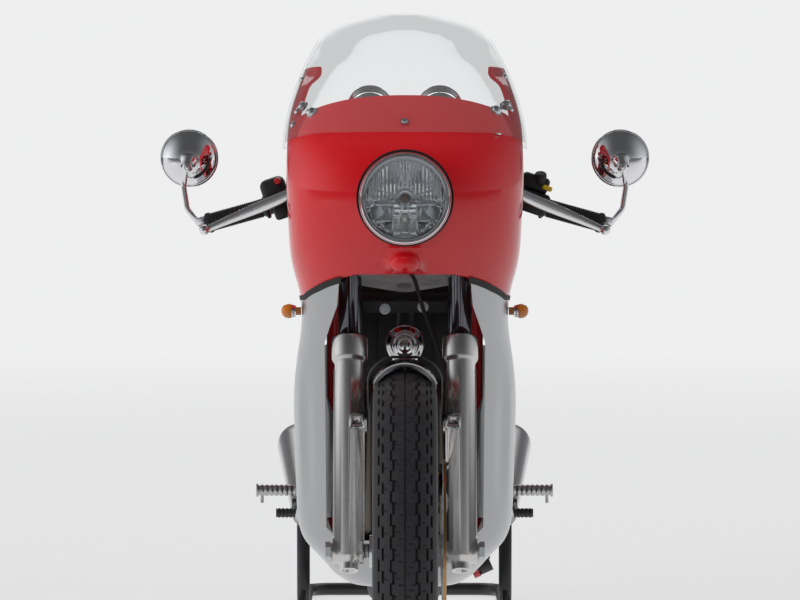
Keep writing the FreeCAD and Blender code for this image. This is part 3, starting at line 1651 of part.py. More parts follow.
def make_small_front_pieces():
    """Horn, the plate behind the fork and the indicators."""
    level = S.horn_height + 64
    plate = block("front_plate_body", (-75, back(300), level - 10), (75, back(306), level + 10))
    strut = rod("front_plate_strut", (30, back(304), level + 2),
                (30, back(S.front_cross_back) - 7, 728), Size(6))
    bar = block("horn_bar", (8, back(300), S.horn_height - 12), (16, back(305), level - 7))
    pieces = [plate, strut, mirrored(strut), bar, mirrored(bar)]
    level = S.front_cross_height
    cross = rod("front_cross_space", (-60, back(S.front_cross_back), level),
                (60, back(S.front_cross_back), level), S.cross_radius + S.running_gap)
    node("front_plate", cut("front_plate_cut", fuse("front_plate_all", pieces), cross))
    outline = [(0, -22), (8, -22), (8, -20), (15, -19), (15, -16), (24, -14), (24, -11), (35, -7)]
    outline += [(35, 6), (22, 14), (22, 30), (0, 30)]
    node("horn", turned("horn_body", outline, (0, back(S.horn_back), S.horn_height), about="Y"))
    at = back(S.indicator_back)
    height = S.indicator_height
    lamp = ball("indicator_lamp", (S.indicator_out, at, height), S.indicator_radius)
    stem = rod("indicator_stem", (S.seam_half_width + 1, at, height),
               (S.indicator_out - 5, at, height), S.indicator_stem_radius)
    pair("front_indicators", fuse("indicator_all", [lamp, stem]))


def check_and_write():
    """Recomputes, stops on any failed object or bad shape, then writes each node."""
    doc.recompute()
    for item in doc.Objects:
        if "Invalid" in item.State or "Error" in item.State:
            raise RuntimeError("%s failed: %s" % (item.Name, item.State))
    os.makedirs("parts", exist_ok=True)
    for name, item in NODES.items():
        shape = item.Shape
        if shape.isNull() or not shape.isValid():
            raise RuntimeError("%s has a bad shape" % name)
        if not shape.Solids:
            raise RuntimeError("%s has no solid" % name)
        shape.exportStep("parts/%s.step" % name)


make_wheels()
make_axles()
make_fork()
make_bars()
make_front_mudguard()
make_front_caliper()
make_upper_fairing()
make_lower_fairing()
make_windscreen()
make_headlight()
make_gauges()
make_fairing_stay()
make_frame()
make_rear()
make_rear_mudguard()
make_rear_caliper()
make_brake_hose()
make_chain()
make_exhaust()
make_footrests()
make_paddock_stand()
make_side_stand()
make_small_front_pieces()
check_and_write()
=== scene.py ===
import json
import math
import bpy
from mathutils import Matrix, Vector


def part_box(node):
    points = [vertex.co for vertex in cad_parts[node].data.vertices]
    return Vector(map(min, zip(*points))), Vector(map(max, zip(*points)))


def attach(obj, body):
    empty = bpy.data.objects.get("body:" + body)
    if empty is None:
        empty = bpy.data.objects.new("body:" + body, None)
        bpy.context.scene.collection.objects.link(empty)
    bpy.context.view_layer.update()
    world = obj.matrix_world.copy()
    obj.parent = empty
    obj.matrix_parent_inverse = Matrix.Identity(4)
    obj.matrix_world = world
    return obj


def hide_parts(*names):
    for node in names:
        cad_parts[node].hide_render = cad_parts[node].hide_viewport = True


bl_info = {
    "name": "Cafe racer dressing",
    "version": (1, 0, 0),
    "blender": (4, 5, 0),
    "location": "View3D > Sidebar > Cafe racer",
    "description": "Finishes and fine pieces for a faired cafe racer on its paddock stand",
    "category": "Object",
}

import bmesh
import bpy
from mathutils import Matrix, Vector
from mathutils.bvhtree import BVHTree

# Metres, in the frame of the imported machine: X to its left, the front faces -Y, Z up.

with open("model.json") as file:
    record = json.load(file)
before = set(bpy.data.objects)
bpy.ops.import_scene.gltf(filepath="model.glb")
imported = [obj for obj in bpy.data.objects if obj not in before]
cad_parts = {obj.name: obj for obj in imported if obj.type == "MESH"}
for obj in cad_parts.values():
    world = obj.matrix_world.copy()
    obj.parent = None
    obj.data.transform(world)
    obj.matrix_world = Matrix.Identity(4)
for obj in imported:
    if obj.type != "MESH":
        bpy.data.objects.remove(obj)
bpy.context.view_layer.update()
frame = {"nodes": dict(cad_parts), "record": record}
NODES = frame["nodes"]
RECORD = frame["record"]
BODY_OF = {node: body for body, nodes in RECORD["behaviour"]["bodies"].items() for node in nodes}


def centre_of(node):
    low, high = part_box(node)
    return (low + high) / 2


def radius_of(node):
    """Half the height of a round node whose middle line runs along X."""
    low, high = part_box(node)
    return (high.z - low.z) / 2


FRONT_AXLE = centre_of("front_axle")
LAMP = Vector((0, FRONT_AXLE.y, centre_of("headlight_rim").z))
FORWARD = Vector((0, -1, 0))
RAKE = math.radians(25)
FORK_UP = Vector((0, math.sin(RAKE), math.cos(RAKE)))
FORK_BEHIND = Vector((0, math.cos(RAKE), -math.sin(RAKE)))
PICTURE = (800, 600)
SENSOR = 36


def spot(x, back, z):
    """A place in millimetres: across, behind the front axle and above the floor."""
    return Vector((x / 1000, FRONT_AXLE.y + back / 1000, z / 1000))


def fork_spot(x, behind, up):
    """A place in millimetres across, behind and along the fork from the axle."""
    start = Vector((x / 1000, FRONT_AXLE.y, FRONT_AXLE.z))
    return start + FORK_BEHIND * (behind / 1000) + FORK_UP * (up / 1000)


# Shader maths as expressions

class Field:
    """A socket that takes part in sums, so that a pattern reads as an expression."""

    def __init__(self, look, socket):
        self.look = look
        self.socket = socket

    def maths(self, operation, *others):
        return self.look.node("ShaderNodeMath", {"operation": operation}, [self, *others])

    def __add__(self, other):
        return self.maths("ADD", other)

    __radd__ = __add__

    def __sub__(self, other):
        return self.maths("SUBTRACT", other)

    def __rsub__(self, other):
        return self.look.node("ShaderNodeMath", {"operation": "SUBTRACT"}, [other, self])

    def __mul__(self, other):
        return self.maths("MULTIPLY", other)

    __rmul__ = __mul__

    def above(self, edge, soft=0.0):
        """1 where this is over the edge, 0 under it, with a soft step if asked."""
        if not soft:
            return self.maths("GREATER_THAN", edge)
        return self.look.node(
            "ShaderNodeMapRange", {"clamp": True},
            {"Value": self, "From Min": edge - soft, "From Max": edge + soft},
        )

    def power(self, exponent):
        return self.maths("POWER", exponent)

    def sine(self):
        return self.maths("SINE")

    def size(self):
        return self.maths("ABSOLUTE")


class Look:
    """A material with its Principled shader and the nodes that drive it."""

    def __init__(self, name, **plain):
        self.material = bpy.data.materials.new(name)
        self.material.use_nodes = True
        self.tree = self.material.node_tree
        self.shader = self.tree.nodes["Principled BSDF"]
        for key, value in plain.items():
            self.feed(key.replace("_", " ").title().replace("Ior", "IOR"), value)

    def link(self, value, socket):
        if isinstance(value, Field):
            self.tree.links.new(value.socket, socket)
        elif hasattr(socket.default_value, "__len__") and not hasattr(value, "__len__"):
            socket.default_value = (value, value, value)
        elif hasattr(value, "__len__") and len(value) == 3 and len(socket.default_value) == 4:
            socket.default_value = (*value, 1.0)
        else:
            socket.default_value = value

    def node(self, kind, settings, inputs, output=0):
        """Makes a node, sets it up, fills its sockets and returns one output as a Field."""
        made = self.tree.nodes.new(kind)
        for key, value in settings.items():
            setattr(made, key, value)
        pairs = inputs.items() if isinstance(inputs, dict) else enumerate(inputs)
        for key, value in pairs:
            self.link(value, made.inputs[key])
        return Field(self, made.outputs[output])

    def feed(self, name, value):
        self.link(value, self.shader.inputs[name])

    def place(self, scale=(1, 1, 1), turn=(0, 0, 0)):
        """Object coordinates, turned and then stretched."""
        point = self.node("ShaderNodeTexCoord", {}, {}, "Object")
        if tuple(turn) != (0, 0, 0):
            point = self.node("ShaderNodeMapping", {}, {"Vector": point, "Rotation": turn})
        if tuple(scale) != (1, 1, 1):
            point = self.node("ShaderNodeMapping", {}, {"Vector": point, "Scale": scale})
        return point

    def noise(self, size, detail=2.0, rough=0.5, point=None):
        """Noise from 0 to 1 whose blotches are about the given size in metres."""
        return self.node("ShaderNodeTexNoise", {}, {
            "Scale": 1.0 / size, "Detail": detail, "Roughness": rough,
            "Vector": point or self.place(),
        })

    def blend(self, share, first, second):
        """A colour that runs from first to second as share goes from 0 to 1."""
        inputs = {0: share, 6: first, 7: second}
        return self.node("ShaderNodeMix", {"data_type": "RGBA"}, inputs, 2)

    def tint(self, share, first, second):
        self.feed("Base Color", self.blend(share, first, second))

    def bump(self, height, distance):
        """Relief: height runs from 0 to 1 over the given distance in metres."""
        inputs = {"Strength": 1.0, "Distance": distance, "Height": height}
        self.feed("Normal", self.node("ShaderNodeBump", {}, inputs))

    def mixed(self, share, first, second, end):
        """Sends a mix of two shaders to the socket that the tree ends in."""
        shader = self.node("ShaderNodeMixShader", {}, [share, first, second])
        self.tree.links.new(shader.socket, self.tree.nodes[end].inputs["Surface"])

    def own_shader(self):
        return Field(self, self.shader.outputs[0])

    def rays(self, *kinds):
        """For each kind of light ray a Field that is 1 where such a ray looks."""
        path = self.tree.nodes.new("ShaderNodeLightPath")
        return [Field(self, path.outputs["Is " + kind + " Ray"]) for kind in kinds]

    def axes(self, point=None):
        """The X, Y and Z of a point as three Fields."""
        split = self.tree.nodes.new("ShaderNodeSeparateXYZ")
        self.link(point or self.place(), split.inputs[0])
        return [Field(self, output) for output in split.outputs]


# Finishes

def darker(colour, share):
    return [channel * share for channel in colour]


def gloss_paint(name, colour):
    """Lacquered paint with a faint orange peel and slight unevenness of tone."""
    look = Look(name, roughness=0.42, coat_weight=1.0, coat_roughness=0.05,
                specular_ior_level=0.15)
    tone = look.noise(0.09, 3)
    look.tint(tone, darker(colour, 0.9), colour)
    look.bump(look.noise(0.0035, 1), 0.00002)
    return look.material


def satin_silver():
    """Aluminium-flake silver under a thin lacquer."""
    look = Look("silver lacquer", metallic=0.8, coat_weight=0.4, coat_roughness=0.12)
    flakes = look.noise(0.0009, 1)
    tone = look.noise(0.12, 3)
    base = look.blend(flakes, (0.33, 0.335, 0.345), (0.5, 0.505, 0.515))
    look.tint(tone * 0.25, base, (0.44, 0.45, 0.46))
    look.feed("Roughness", 0.27 + flakes * 0.1)
    look.bump(look.noise(0.006, 1), 0.00002)
    return look.material


def powder_black(name, grain=0.0012, gloss=0.35):
    """Black powder coat with a fine dimple."""
    look = Look(name, specular_ior_level=0.5)
    patch = look.noise(0.03, 3)
    look.tint(patch, (0.012, 0.012, 0.013), (0.026, 0.026, 0.028))
    look.feed("Roughness", gloss + patch * 0.14)
    look.bump(look.noise(grain, 2), 0.00006)
    return look.material


def brushed_metal(name, colour, across, turn=(0, 0, 0), rough=0.26, depth=0.00004):
    """Metal with fine lines. across gives how tightly they lie along X, Y and Z."""
    look = Look(name, metallic=1.0)
    lines = look.noise(1.0, 3, 0.7, look.place(across, turn))
    patch = look.noise(0.05, 2)
    look.tint(lines, darker(colour, 0.86), colour)
    look.feed("Roughness", rough - 0.05 + lines * 0.12 + patch * 0.05)
    look.bump(lines, depth)
    return look.material


def bright_metal(name, colour, rough=0.05):
    """Chrome or polish with a trace of haze and fine wiping marks."""
    look = Look(name, metallic=1.0)
    haze = look.noise(0.04, 3)
    look.tint(haze, darker(colour, 0.95), colour)
    look.feed("Roughness", rough + haze * 0.04)
    look.bump(look.noise(0.02, 1), 0.00001)
    return look.material


def cast_metal(name, colour):
    """Cast aluminium: sandy skin with darker hollows."""
    look = Look(name, metallic=0.35)
    grit = look.noise(0.0016, 3, 0.6)
    patch = look.noise(0.03, 3)
    look.tint(patch * 0.5 + grit * 0.5, darker(colour, 0.7), colour)
    look.feed("Roughness", 0.5 + grit * 0.15)
    look.bump(grit, 0.00015)
    return look.material


def soft_black(name, tone=0.02, rough=0.55, grain=0.0015, depth=0.00008):
    """Rubber or moulded black plastic with a fine grain."""
    look = Look(name, specular_ior_level=0.4)
    patch = look.noise(0.02, 3)
    light = [tone * 1.35, tone * 1.3, tone * 1.28]
    look.tint(patch, [tone * 0.7] * 3, light)
    look.feed("Roughness", rough + patch * 0.15)
    look.bump(look.noise(grain, 2), depth)
    return look.material


def clear_sheet(name, tint, grazing, haze):
    """Thin clear sheet that lets light through, with a faint haze, greyer where seen edge-on."""
    look = Look(name, metallic=0.25, roughness=0.04, specular_ior_level=0.2)
    dust = look.noise(0.05, 3)
    facing = look.node("ShaderNodeLayerWeight", {}, {"Blend": 0.12}, "Fresnel")
    pale = look.blend(dust, (0.93, 0.93, 0.94), (0.97, 0.97, 0.97))
    look.tint(facing, pale, (0.09, 0.095, 0.1))
    clear = look.node("ShaderNodeBsdfTransparent", {}, {"Color": tint})
    look.mixed(haze + facing * grazing + dust * 0.012, clear, look.own_shader(), "Material Output")
    return look.material


def lens_plastic(name, dark, light):
    """Coloured lens with moulded rings."""
    look = Look(name, roughness=0.1, transmission_weight=0.25, ior=1.45, coat_weight=0.7)
    rings = (look.axes()[2] * 1800.0).sine() * 0.5 + 0.5
    look.tint(rings, dark, light)
    look.bump(rings, 0.0003)
    return look.material


def seat_leather():
    """Black leather with a fine cell grain."""
    look = Look("seat leather", specular_ior_level=0.45, sheen_weight=0.1)
    cells = look.node("ShaderNodeTexVoronoi", {"feature": "DISTANCE_TO_EDGE"},
                      {"Vector": look.place(), "Scale": 700.0})
    patch = look.noise(0.03, 4)
    look.tint(patch, (0.012, 0.011, 0.01), (0.03, 0.028, 0.026))
    look.feed("Roughness", 0.42 + patch * 0.2)
    look.bump(cells, 0.0002)
    return look.material


def tyre_rubber():
    """Dark rubber that greys on the tread blocks and shines on the shoulders."""
    look = Look("tyre rubber", specular_ior_level=0.35)
    patch = look.noise(0.015, 4)
    fine = look.noise(0.0012, 2)
    worn = patch * 0.6 + fine * 0.4
    look.tint(worn, (0.012, 0.012, 0.013), (0.04, 0.04, 0.043))
    look.feed("Roughness", 0.42 + patch * 0.22)
    look.bump(fine * 0.6 + patch * 0.4, 0.0002)
    return look.material


LOOKS = {}


def make_looks():
    """Every finish of the machine, by a plain name."""
    fork_turn = (-RAKE, 0, 0)
    LOOKS.update({
        "red": gloss_paint("red paint", (0.7, 0.004, 0.01)),
        "silver": satin_silver(),
        "black_gloss": gloss_paint("black paint", (0.012, 0.012, 0.013)),
        "black": powder_black("black powder coat"),
        "black_satin": powder_black("black satin metal", 0.003, 0.3),
        "turned_fork": brushed_metal("turned fork metal", (0.66, 0.65, 0.635), (2, 2, 3200),
                                     fork_turn, 0.21, 0.00001),
        "brushed": brushed_metal("brushed aluminium", (0.7, 0.7, 0.7), (900, 12, 12)),
        "rim": brushed_metal("rim aluminium", (0.66, 0.66, 0.67), (1200, 4, 4), rough=0.2),
        "polished": bright_metal("polished aluminium", (0.8, 0.8, 0.8), 0.12),
        "chrome": bright_metal("chrome", (0.78, 0.78, 0.8)),
        "zinc": bright_metal("zinc plate", (0.5, 0.52, 0.54), 0.22),
        "steel": brushed_metal("ground steel", (0.5, 0.5, 0.5), (30, 700, 700), rough=0.3),
        "bronze": bright_metal("bronze edge", (0.55, 0.32, 0.12), 0.3),
        "cast": cast_metal("cast aluminium", (0.66, 0.65, 0.64)),
        "engine": cast_metal("engine casing", (0.16, 0.16, 0.165)),
        # Painted reflection: the mudguard's polish is given a dark colour to show the dark it
        # mirrors; the metal itself is brighter.
        "blade": bright_metal("polished blade painted dark for its reflection", (0.4, 0.4, 0.41), 0.09),
        "burnt_pipe": bright_metal("heat-darkened pipe", (0.14, 0.125, 0.11), 0.3),
        "gold": bright_metal("gold passivated steel", (0.62, 0.42, 0.12), 0.28),
        "rubber": soft_black("black rubber"),
        "plastic": soft_black("black plastic", 0.016, 0.36, 0.0009, 0.00004),
        "tyre": tyre_rubber(),
        "screen": clear_sheet("screen plastic", (0.98, 0.985, 0.985), 0.26, 0.035),
        "lens": clear_sheet("lamp glass", (0.97, 0.98, 0.985), 0.3, 0.02),
        "amber": lens_plastic("amber lens", (0.62, 0.16, 0.008), (0.9, 0.32, 0.02)),
        "tail_red": lens_plastic("red lens", (0.4, 0.004, 0.004), (0.62, 0.012, 0.01)),
        "seat": seat_leather(),
        "yellow": gloss_paint("yellow plastic", (0.75, 0.5, 0.01)),
        "button_red": gloss_paint("red plastic", (0.5, 0.01, 0.01)),
        "white": gloss_paint("white plastic", (0.75, 0.74, 0.7)),
        "dial": soft_black("dial face", 0.012, 0.5, 0.0006, 0.00002),
        "bulb": gloss_paint("bulb cap", (0.06, 0.03, 0.022)),
        "reflector": bright_metal("lamp reflector", (0.86, 0.87, 0.88), 0.07),
        # Painted reflection: the stanchions' chrome is given a near-black colour to show the dark
        # room it mirrors; real hard chrome is brighter.
        "chrome_painted_dark": bright_metal("hard chrome painted dark for its reflection", (0.13, 0.135, 0.15), 0.07),
        "mirror": bright_metal("mirror glass", (0.8, 0.82, 0.84), 0.01),
    })


def assign(obj, look):
    obj.data.materials.clear()
    obj.data.materials.append(LOOKS[look])


# Shapes

def linked(name, data):
    """A new object in the scene that holds the given mesh, lamp, camera or characters."""
    obj = bpy.data.objects.new(name, data)
    bpy.context.scene.collection.objects.link(obj)
    return obj


def meshed(name, bm):
    """A new object in the scene made from a bmesh, which is freed."""
    mesh = bpy.data.meshes.new(name)
    bm.to_mesh(mesh)
    bm.free()
    return linked(name, mesh)


def finished(name, bm, look, node, sharp=35):
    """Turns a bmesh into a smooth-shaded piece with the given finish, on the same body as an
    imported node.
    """
    obj = meshed(name, bm)
    obj.data.polygons.foreach_set("use_smooth", [True] * len(obj.data.polygons))
    obj.data.set_sharp_from_angle(angle=math.radians(sharp))
    assign(obj, look)
    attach(obj, BODY_OF[node])
    return obj


def aimed(point, along):
    """A matrix that takes local Z to a direction, at a point."""
    turn = Vector(along).to_track_quat("Z", "Y").to_matrix().to_4x4()
    return Matrix.Translation(Vector(point)) @ turn


def lathe(bm, outline, at, steps=48):
    """Spins an outline of (radius, height) about the local Z of a placing matrix."""
    before = set(bm.verts)
    verts = [bm.verts.new((radius, 0, height)) for radius, height in outline]
    edges = [bm.edges.new(pair) for pair in zip(verts, verts[1:])]
    bmesh.ops.spin(bm, geom=verts + edges, cent=(0, 0, 0), axis=(0, 0, 1), angle=2 * math.pi,
                   steps=steps, use_merge=True)
    made = [vert for vert in bm.verts if vert not in before]
    bmesh.ops.remove_doubles(bm, verts=made, dist=1e-6)
    made = [vert for vert in bm.verts if vert not in before]
    faces = list(dict.fromkeys(face for vert in made for face in vert.link_faces))
    bmesh.ops.recalc_face_normals(bm, faces=faces)
    bmesh.ops.transform(bm, matrix=at, verts=made)


def post(bm, start, stop, radius, radius_stop=None, sides=24):
    """A round bar or cone between two points."""
    start = Vector(start)
    stop = Vector(stop)
    along = stop - start
    at = aimed((start + stop) / 2, along)
    bmesh.ops.create_cone(bm, cap_ends=True, segments=sides, radius1=radius,
                          radius2=radius if radius_stop is None else radius_stop,
                          depth=along.length, matrix=at)


def button_head(bm, point, along, radius, height=None):
    """A dome-headed screw with its washer and the hexagon socket in its top."""
    tall = height or radius * 0.55
    socket = radius * 0.38
    outline = [(0, 0), (radius * 1.35, 0), (radius * 1.35, tall * 0.22), (radius, tall * 0.22)]
    for step in range(1, 5):
        angle = math.pi / 2 * step / 6
        outline.append((radius * math.cos(angle), tall * (0.22 + 0.78 * math.sin(angle))))
    outline += [(socket, tall * 0.97), (socket * 0.95, tall * 0.5), (0, tall * 0.5)]
    lathe(bm, outline, aimed(point, along), 16)


def rounded_box(bm, centre, size, turn=0.0, edge=0.003):
    """A box with rounded edges, turned about Y."""
    at = Matrix.Translation(Vector(centre)) @ Matrix.Rotation(turn, 4, "Y")
    made = bmesh.ops.create_cube(bm, size=1.0, matrix=at @ Matrix.Diagonal((*size, 1.0)))
    edges = list(dict.fromkeys(line for vert in made["verts"] for line in vert.link_edges))
    bmesh.ops.bevel(bm, geom=edges, offset=edge, segments=3, affect="EDGES", profile=0.5,
                    material=-1)


def mirror_over(bm):
    """Adds the mirror image of all that a bmesh holds."""
    geom = bm.verts[:] + bm.edges[:] + bm.faces[:]
    bmesh.ops.mirror(bm, geom=geom, matrix=Matrix.Identity(4), merge_dist=0, axis="X")
    bmesh.ops.recalc_face_normals(bm, faces=bm.faces)


def mesh_of(node, merge=False):
    """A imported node's mesh as a bmesh, with its double points merged if asked."""
    bm = bmesh.new()
    bm.from_mesh(NODES[node].data)
    if merge:
        bmesh.ops.remove_doubles(bm, verts=bm.verts, dist=1e-6)
    return bm


def surface_of(node):
    """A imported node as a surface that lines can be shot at."""
    bm = mesh_of(node)
    tree = BVHTree.FromBMesh(bm)
    bm.free()
    return tree


def struck(tree, across, down):
    """Where the camera's line through a place in the picture meets a surface, and its normal."""
    settings = bpy.context.scene.cafe_stage
    turn = Matrix.Rotation(math.radians(90) - settings.pitch, 3, "X")
    wide, tall = PICTURE
    pixel = SENSOR / wide / settings.lens
    along = turn @ Vector(((across - wide / 2) * pixel, (tall / 2 - down) * pixel, -1.0))
    start = Vector(settings.camera_place)
    along.normalize()
    point, normal = tree.ray_cast(start, along)[:2]
    if point is None:
        reach = (spot(0, 150, 1000) - start).length
        point, normal = tree.find_nearest(start + along * reach)[:2]
    return point, normal if normal.dot(along) < 0 else -normal


def skin_copy(node, look):
    """A merged, smooth-shaded copy of a node that stands for it."""
    obj = finished(node + "_skin", mesh_of(node, merge=True), look, node, 32)
    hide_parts(node)


# Stage

class RoomLook(Look):
    """The nodes of the world, with the same way of writing as a material's."""

    def __init__(self, world):
        world.use_nodes = True
        self.tree = world.node_tree
        self.shader = self.tree.nodes["Background"]

    def brighten_sides(self, even, sides):
        """Soft light from both sides, more from the left, and a pale haze at the horizon."""
        toward = self.node("ShaderNodeTexCoord", {}, {}, "Generated")
        x, _, z = self.axes(toward)
        horizon = (1.0 - z.size()).power(7.0) * 0.3
        self.feed("Strength", even + horizon + x.size().power(4.0) * (sides - 0.35 * sides * x))

    def show_pale(self, colour):
        """Past the floor's end the camera sees the backdrop's colour."""
        seen = self.rays("Camera")[0]
        pale = self.node("ShaderNodeBackground", {}, {"Color": colour, "Strength": 1.0})
        self.mixed(seen, self.own_shader(), pale, "World Output")


def floor_look(backdrop):
    """Matt floor that keeps its shadows close by and glows evenly like the backdrop far off."""
    look = Look("pale floor", roughness=0.9)
    x, y, z = look.axes()
    grey = look.noise(0.6, 2)
    look.tint(grey, (0.86, 0.86, 0.865), (0.88, 0.88, 0.885))
    camera, glossy, through = look.rays("Camera", "Glossy", "Transmission")
    far = (x * x + y * y).power(0.5).above(4.5, 3.0)
    direct = camera * (0.72 + far * 0.28)
    mirrored = (glossy + through).maths("MINIMUM", 1.0) * y.above(-2.6, 2.2)
    share = (mirrored + direct).maths("MINIMUM", 1.0)
    glow = look.node("ShaderNodeEmission", {}, {"Color": backdrop, "Strength": 1.0})
    look.mixed(share, look.own_shader(), glow, "Material Output")
    return look.material


def make_floor(backdrop):
    """A flat floor that reaches past all that the camera sees."""
    bm = bmesh.new()
    bmesh.ops.create_grid(bm, x_segments=1, y_segments=1, size=80.0)
    floor = meshed("floor", bm)
    floor.data.materials.append(floor_look(backdrop))


# Each lamp's name, place, target, width and height, watts, and whether metal mirrors it.
LAMPS = [
    ("left_softbox", (-3.4, -2.4, 2.0), (0, -0.5, 0.75), (1.6, 3.2), 56, False),
    ("right_softbox", (3.6, -1.8, 1.7), (0, -0.5, 0.7), (1.2, 2.8), 14, False),
    ("top_softbox", (0.0, -0.4, 4.2), (0, -0.2, 0.6), (3.6, 3.0), 44, False),
    ("front_fill", (-1.6, -7.0, 2.6), (0, -0.6, 0.7), (2.6, 2.0), 44, False),
    ("back_light", (0.0, 3.6, 2.8), (0, 0.2, 0.6), (3.6, 1.6), 34, True),
]


def make_lamps():
    for name, place, target, (wide, tall), watts, mirrored in LAMPS:
        data = bpy.data.lights.new(name, "AREA")
        data.shape = "RECTANGLE"
        data.size = wide
        data.size_y = tall
        data.energy = watts
        lamp = linked(name, data)
        lamp.visible_glossy = mirrored
        aim = Vector(target) - Vector(place)
        turn = aim.to_track_quat("-Z", "Y").to_matrix().to_4x4()
        lamp.matrix_world = Matrix.Translation(Vector(place)) @ turn


def make_stage():
    """Floor, lamps, the room's light and the camera at the photo's viewpoint."""
    scene = bpy.context.scene
    settings = scene.cafe_stage
    backdrop = tuple(settings.backdrop)
    make_floor(backdrop)
    make_lamps()

    scene.world = bpy.data.worlds.new("studio")
    room = RoomLook(scene.world)
    room.feed("Color", tuple(settings.room))
    room.brighten_sides(0.14, 1.15)
    room.show_pale(backdrop)

    data = bpy.data.cameras.new("camera")
    data.lens = settings.lens
    data.sensor_width = SENSOR
    data.clip_end = 60
    scene.camera = linked("camera", data)
    turn = Matrix.Rotation(math.radians(90) - settings.pitch, 4, "X")
    scene.camera.matrix_world = Matrix.Translation(Vector(settings.camera_place)) @ turn
    scene.view_settings.view_transform = "Standard"


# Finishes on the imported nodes

NODE_LOOKS = {
    "front_wheel": "rim", "rear_wheel": "rim",
    "front_disc": "steel", "rear_disc": "steel", "rear_sprocket": "steel", "chain": "steel",
    "front_axle": "zinc", "rear_axle": "zinc",
    # fork_stanchions: chrome painted dark, a painted reflection of the dark room.
    "fork_sliders": "turned_fork", "fork_stanchions": "chrome_painted_dark",
    "lower_yoke": "cast", "upper_yoke": "cast",
    "clip_ons": "black", "switchgear": "plastic", "levers": "polished", "mirrors": "chrome",
    # front_mudguard: polished blade painted dark, a painted reflection.
    "front_mudguard": "blade", "mudguard_hoop": "black_gloss", "front_caliper": "black",
    "upper_fairing": "red", "lower_fairing": "silver", "fairing_trim": "rubber",
    "windscreen": "screen",
    "headlight_gasket": "rubber", "headlight_rim": "chrome", "headlight_lens": "lens",
    "headlight_bowl": "chrome", "gauges": "chrome",
    "fairing_stay": "black", "front_plate": "black_satin", "horn": "chrome",
    "frame": "red", "cradle": "red", "frame_struts": "red", "engine_block": "engine",
    "swingarm": "brushed", "rear_shocks": "chrome",
    "fuel_tank": "red", "tail_unit": "red",
    "exhaust_pipes": "burnt_pipe", "silencers": "brushed",
    "rearsets": "steel", "foot_levers": "black",
    "paddock_stand": "black", "side_stand": "black",
    "front_indicators": "amber", "rear_indicators": "amber", "tail_lamp": "tail_red",
    "rear_mudguard": "plastic", "rear_caliper": "black", "brake_hose": "rubber",
    "grips": "rubber", "seat_pad": "seat", "front_tyre": "tyre", "rear_tyre": "tyre",
}


# Nodes whose visible piece is built below.
OWN_PIECES = {"front_tyre", "rear_tyre", "grips", "seat_pad", "headlight_rim"}


def finish_nodes():
    """Smooth copies with their finishes for every node that no other piece replaces."""
    for node, look in NODE_LOOKS.items():
        assign(NODES[node], look)
        if node not in OWN_PIECES:
            skin_copy(node, look)


# Tyres

RIM_SEAT = 0.2288
TREAD_STEPS = 14
CROWN_STEP = 0.006
TREAD_MARKS = [
    0.0, 0.0011, 0.0013, 0.006, 0.011, 0.0165, 0.0172, 0.0174, 0.0212, 0.0216, 0.0218,
    0.0256, 0.0258, 0.031, 0.0356, 0.0358, 0.0392, 0.0394, 0.0426, 0.0428, 0.0462, 0.0464,
]


def tread_depth(across, share):
    """Depth of the tread at a place across the crown, by the share of a pitch."""
    step = 1.0 if share < 0.5 else -1.0
    middle = abs(across) < 0.0012
    groove = abs(abs(across) - (0.0215 + 0.0022 * step)) < 0.002
    shoulder = abs(abs(across) - (0.041 + 0.0035 * step)) < 0.0018
    if middle:
        return 0.0025
    if groove or shoulder:
        return 0.0045
    sipe = 0.25 * math.sin(abs(across) * 300) + (0.3 if across > 0 else 0.8)
    cut = abs((share - sipe + 0.5) % 1.0 - 0.5) < 0.035
    if cut and (0.006 < abs(across) < 0.0165 or 0.0275 < abs(across) < 0.0345):
        return 0.003
    return 0.0


def make_tyre(node, rim_half, pitches):
    """A tyre with a stepped classic tread cut into its crown, with its sides and beads."""
    low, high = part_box(node)
    radius = radius_of(node)
    half = (high.x - low.x) / 2
    reach = half * 0.93
    shoulder = radius * 0.905
    sag = radius - shoulder
    curve = (reach * reach + sag * sag) / (2 * sag)
    across = [x for x in TREAD_MARKS if x < reach]
    while across[-1] + CROWN_STEP < reach - 0.001:
        across.append(across[-1] + CROWN_STEP)
    outline = [(x, radius - curve + math.sqrt(curve * curve - x * x)) for x in across]
    outline.append((reach, shoulder))
    low_side = RIM_SEAT + 0.023
    for step in range(1, 8):
        share = step / 8
        x = reach + (half - reach) * math.sin(math.pi * share)
        outline.append((x, shoulder + (low_side - shoulder) * share))
    outline += [(reach, low_side), (rim_half, RIM_SEAT + 0.0142), (rim_half, RIM_SEAT)]
    section = [(r, -x) for x, r in reversed(outline[1:])] + [(r, x) for x, r in outline]
    section.append(section[0])
    bm = bmesh.new()
    lathe(bm, section, Matrix.Identity(4), pitches * TREAD_STEPS)
    for vert in bm.verts:
        out = math.hypot(vert.co.x, vert.co.y)
        if out < shoulder + 0.001:
            continue
        turn = math.atan2(vert.co.y, vert.co.x) / (2 * math.pi) * pitches
        cut = tread_depth(vert.co.z, (turn + 0.5 / TREAD_STEPS) % 1.0)
        vert.co.x *= 1 - cut / out
        vert.co.y *= 1 - cut / out
    turn = Matrix.Rotation(math.radians(90), 4, "Y")
    place = Matrix.Translation((low + high) / 2)
    bmesh.ops.transform(bm, matrix=place @ turn, verts=bm.verts)
    obj = finished(node + "_tread", bm, "tyre", node, 30)
    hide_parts(node)


def make_tyres():
    make_tyre("front_tyre", 0.0313, 50)
    make_tyre("rear_tyre", 0.0463, 51)


# Grips

def far_ends(node, side, reach):
    """The two ends of a long round piece on one side, as points on its middle line."""
    verts = [vert.co for vert in NODES[node].data.vertices if vert.co.x * side > 0]
    inner = min(abs(p.x) for p in verts)
    outer = max(abs(p.x) for p in verts)
    near = [p for p in verts if abs(p.x) < inner + reach]
    far = [p for p in verts if abs(p.x) > outer - reach]
    return [sum(group, Vector()) / len(group) for group in (near, far)]


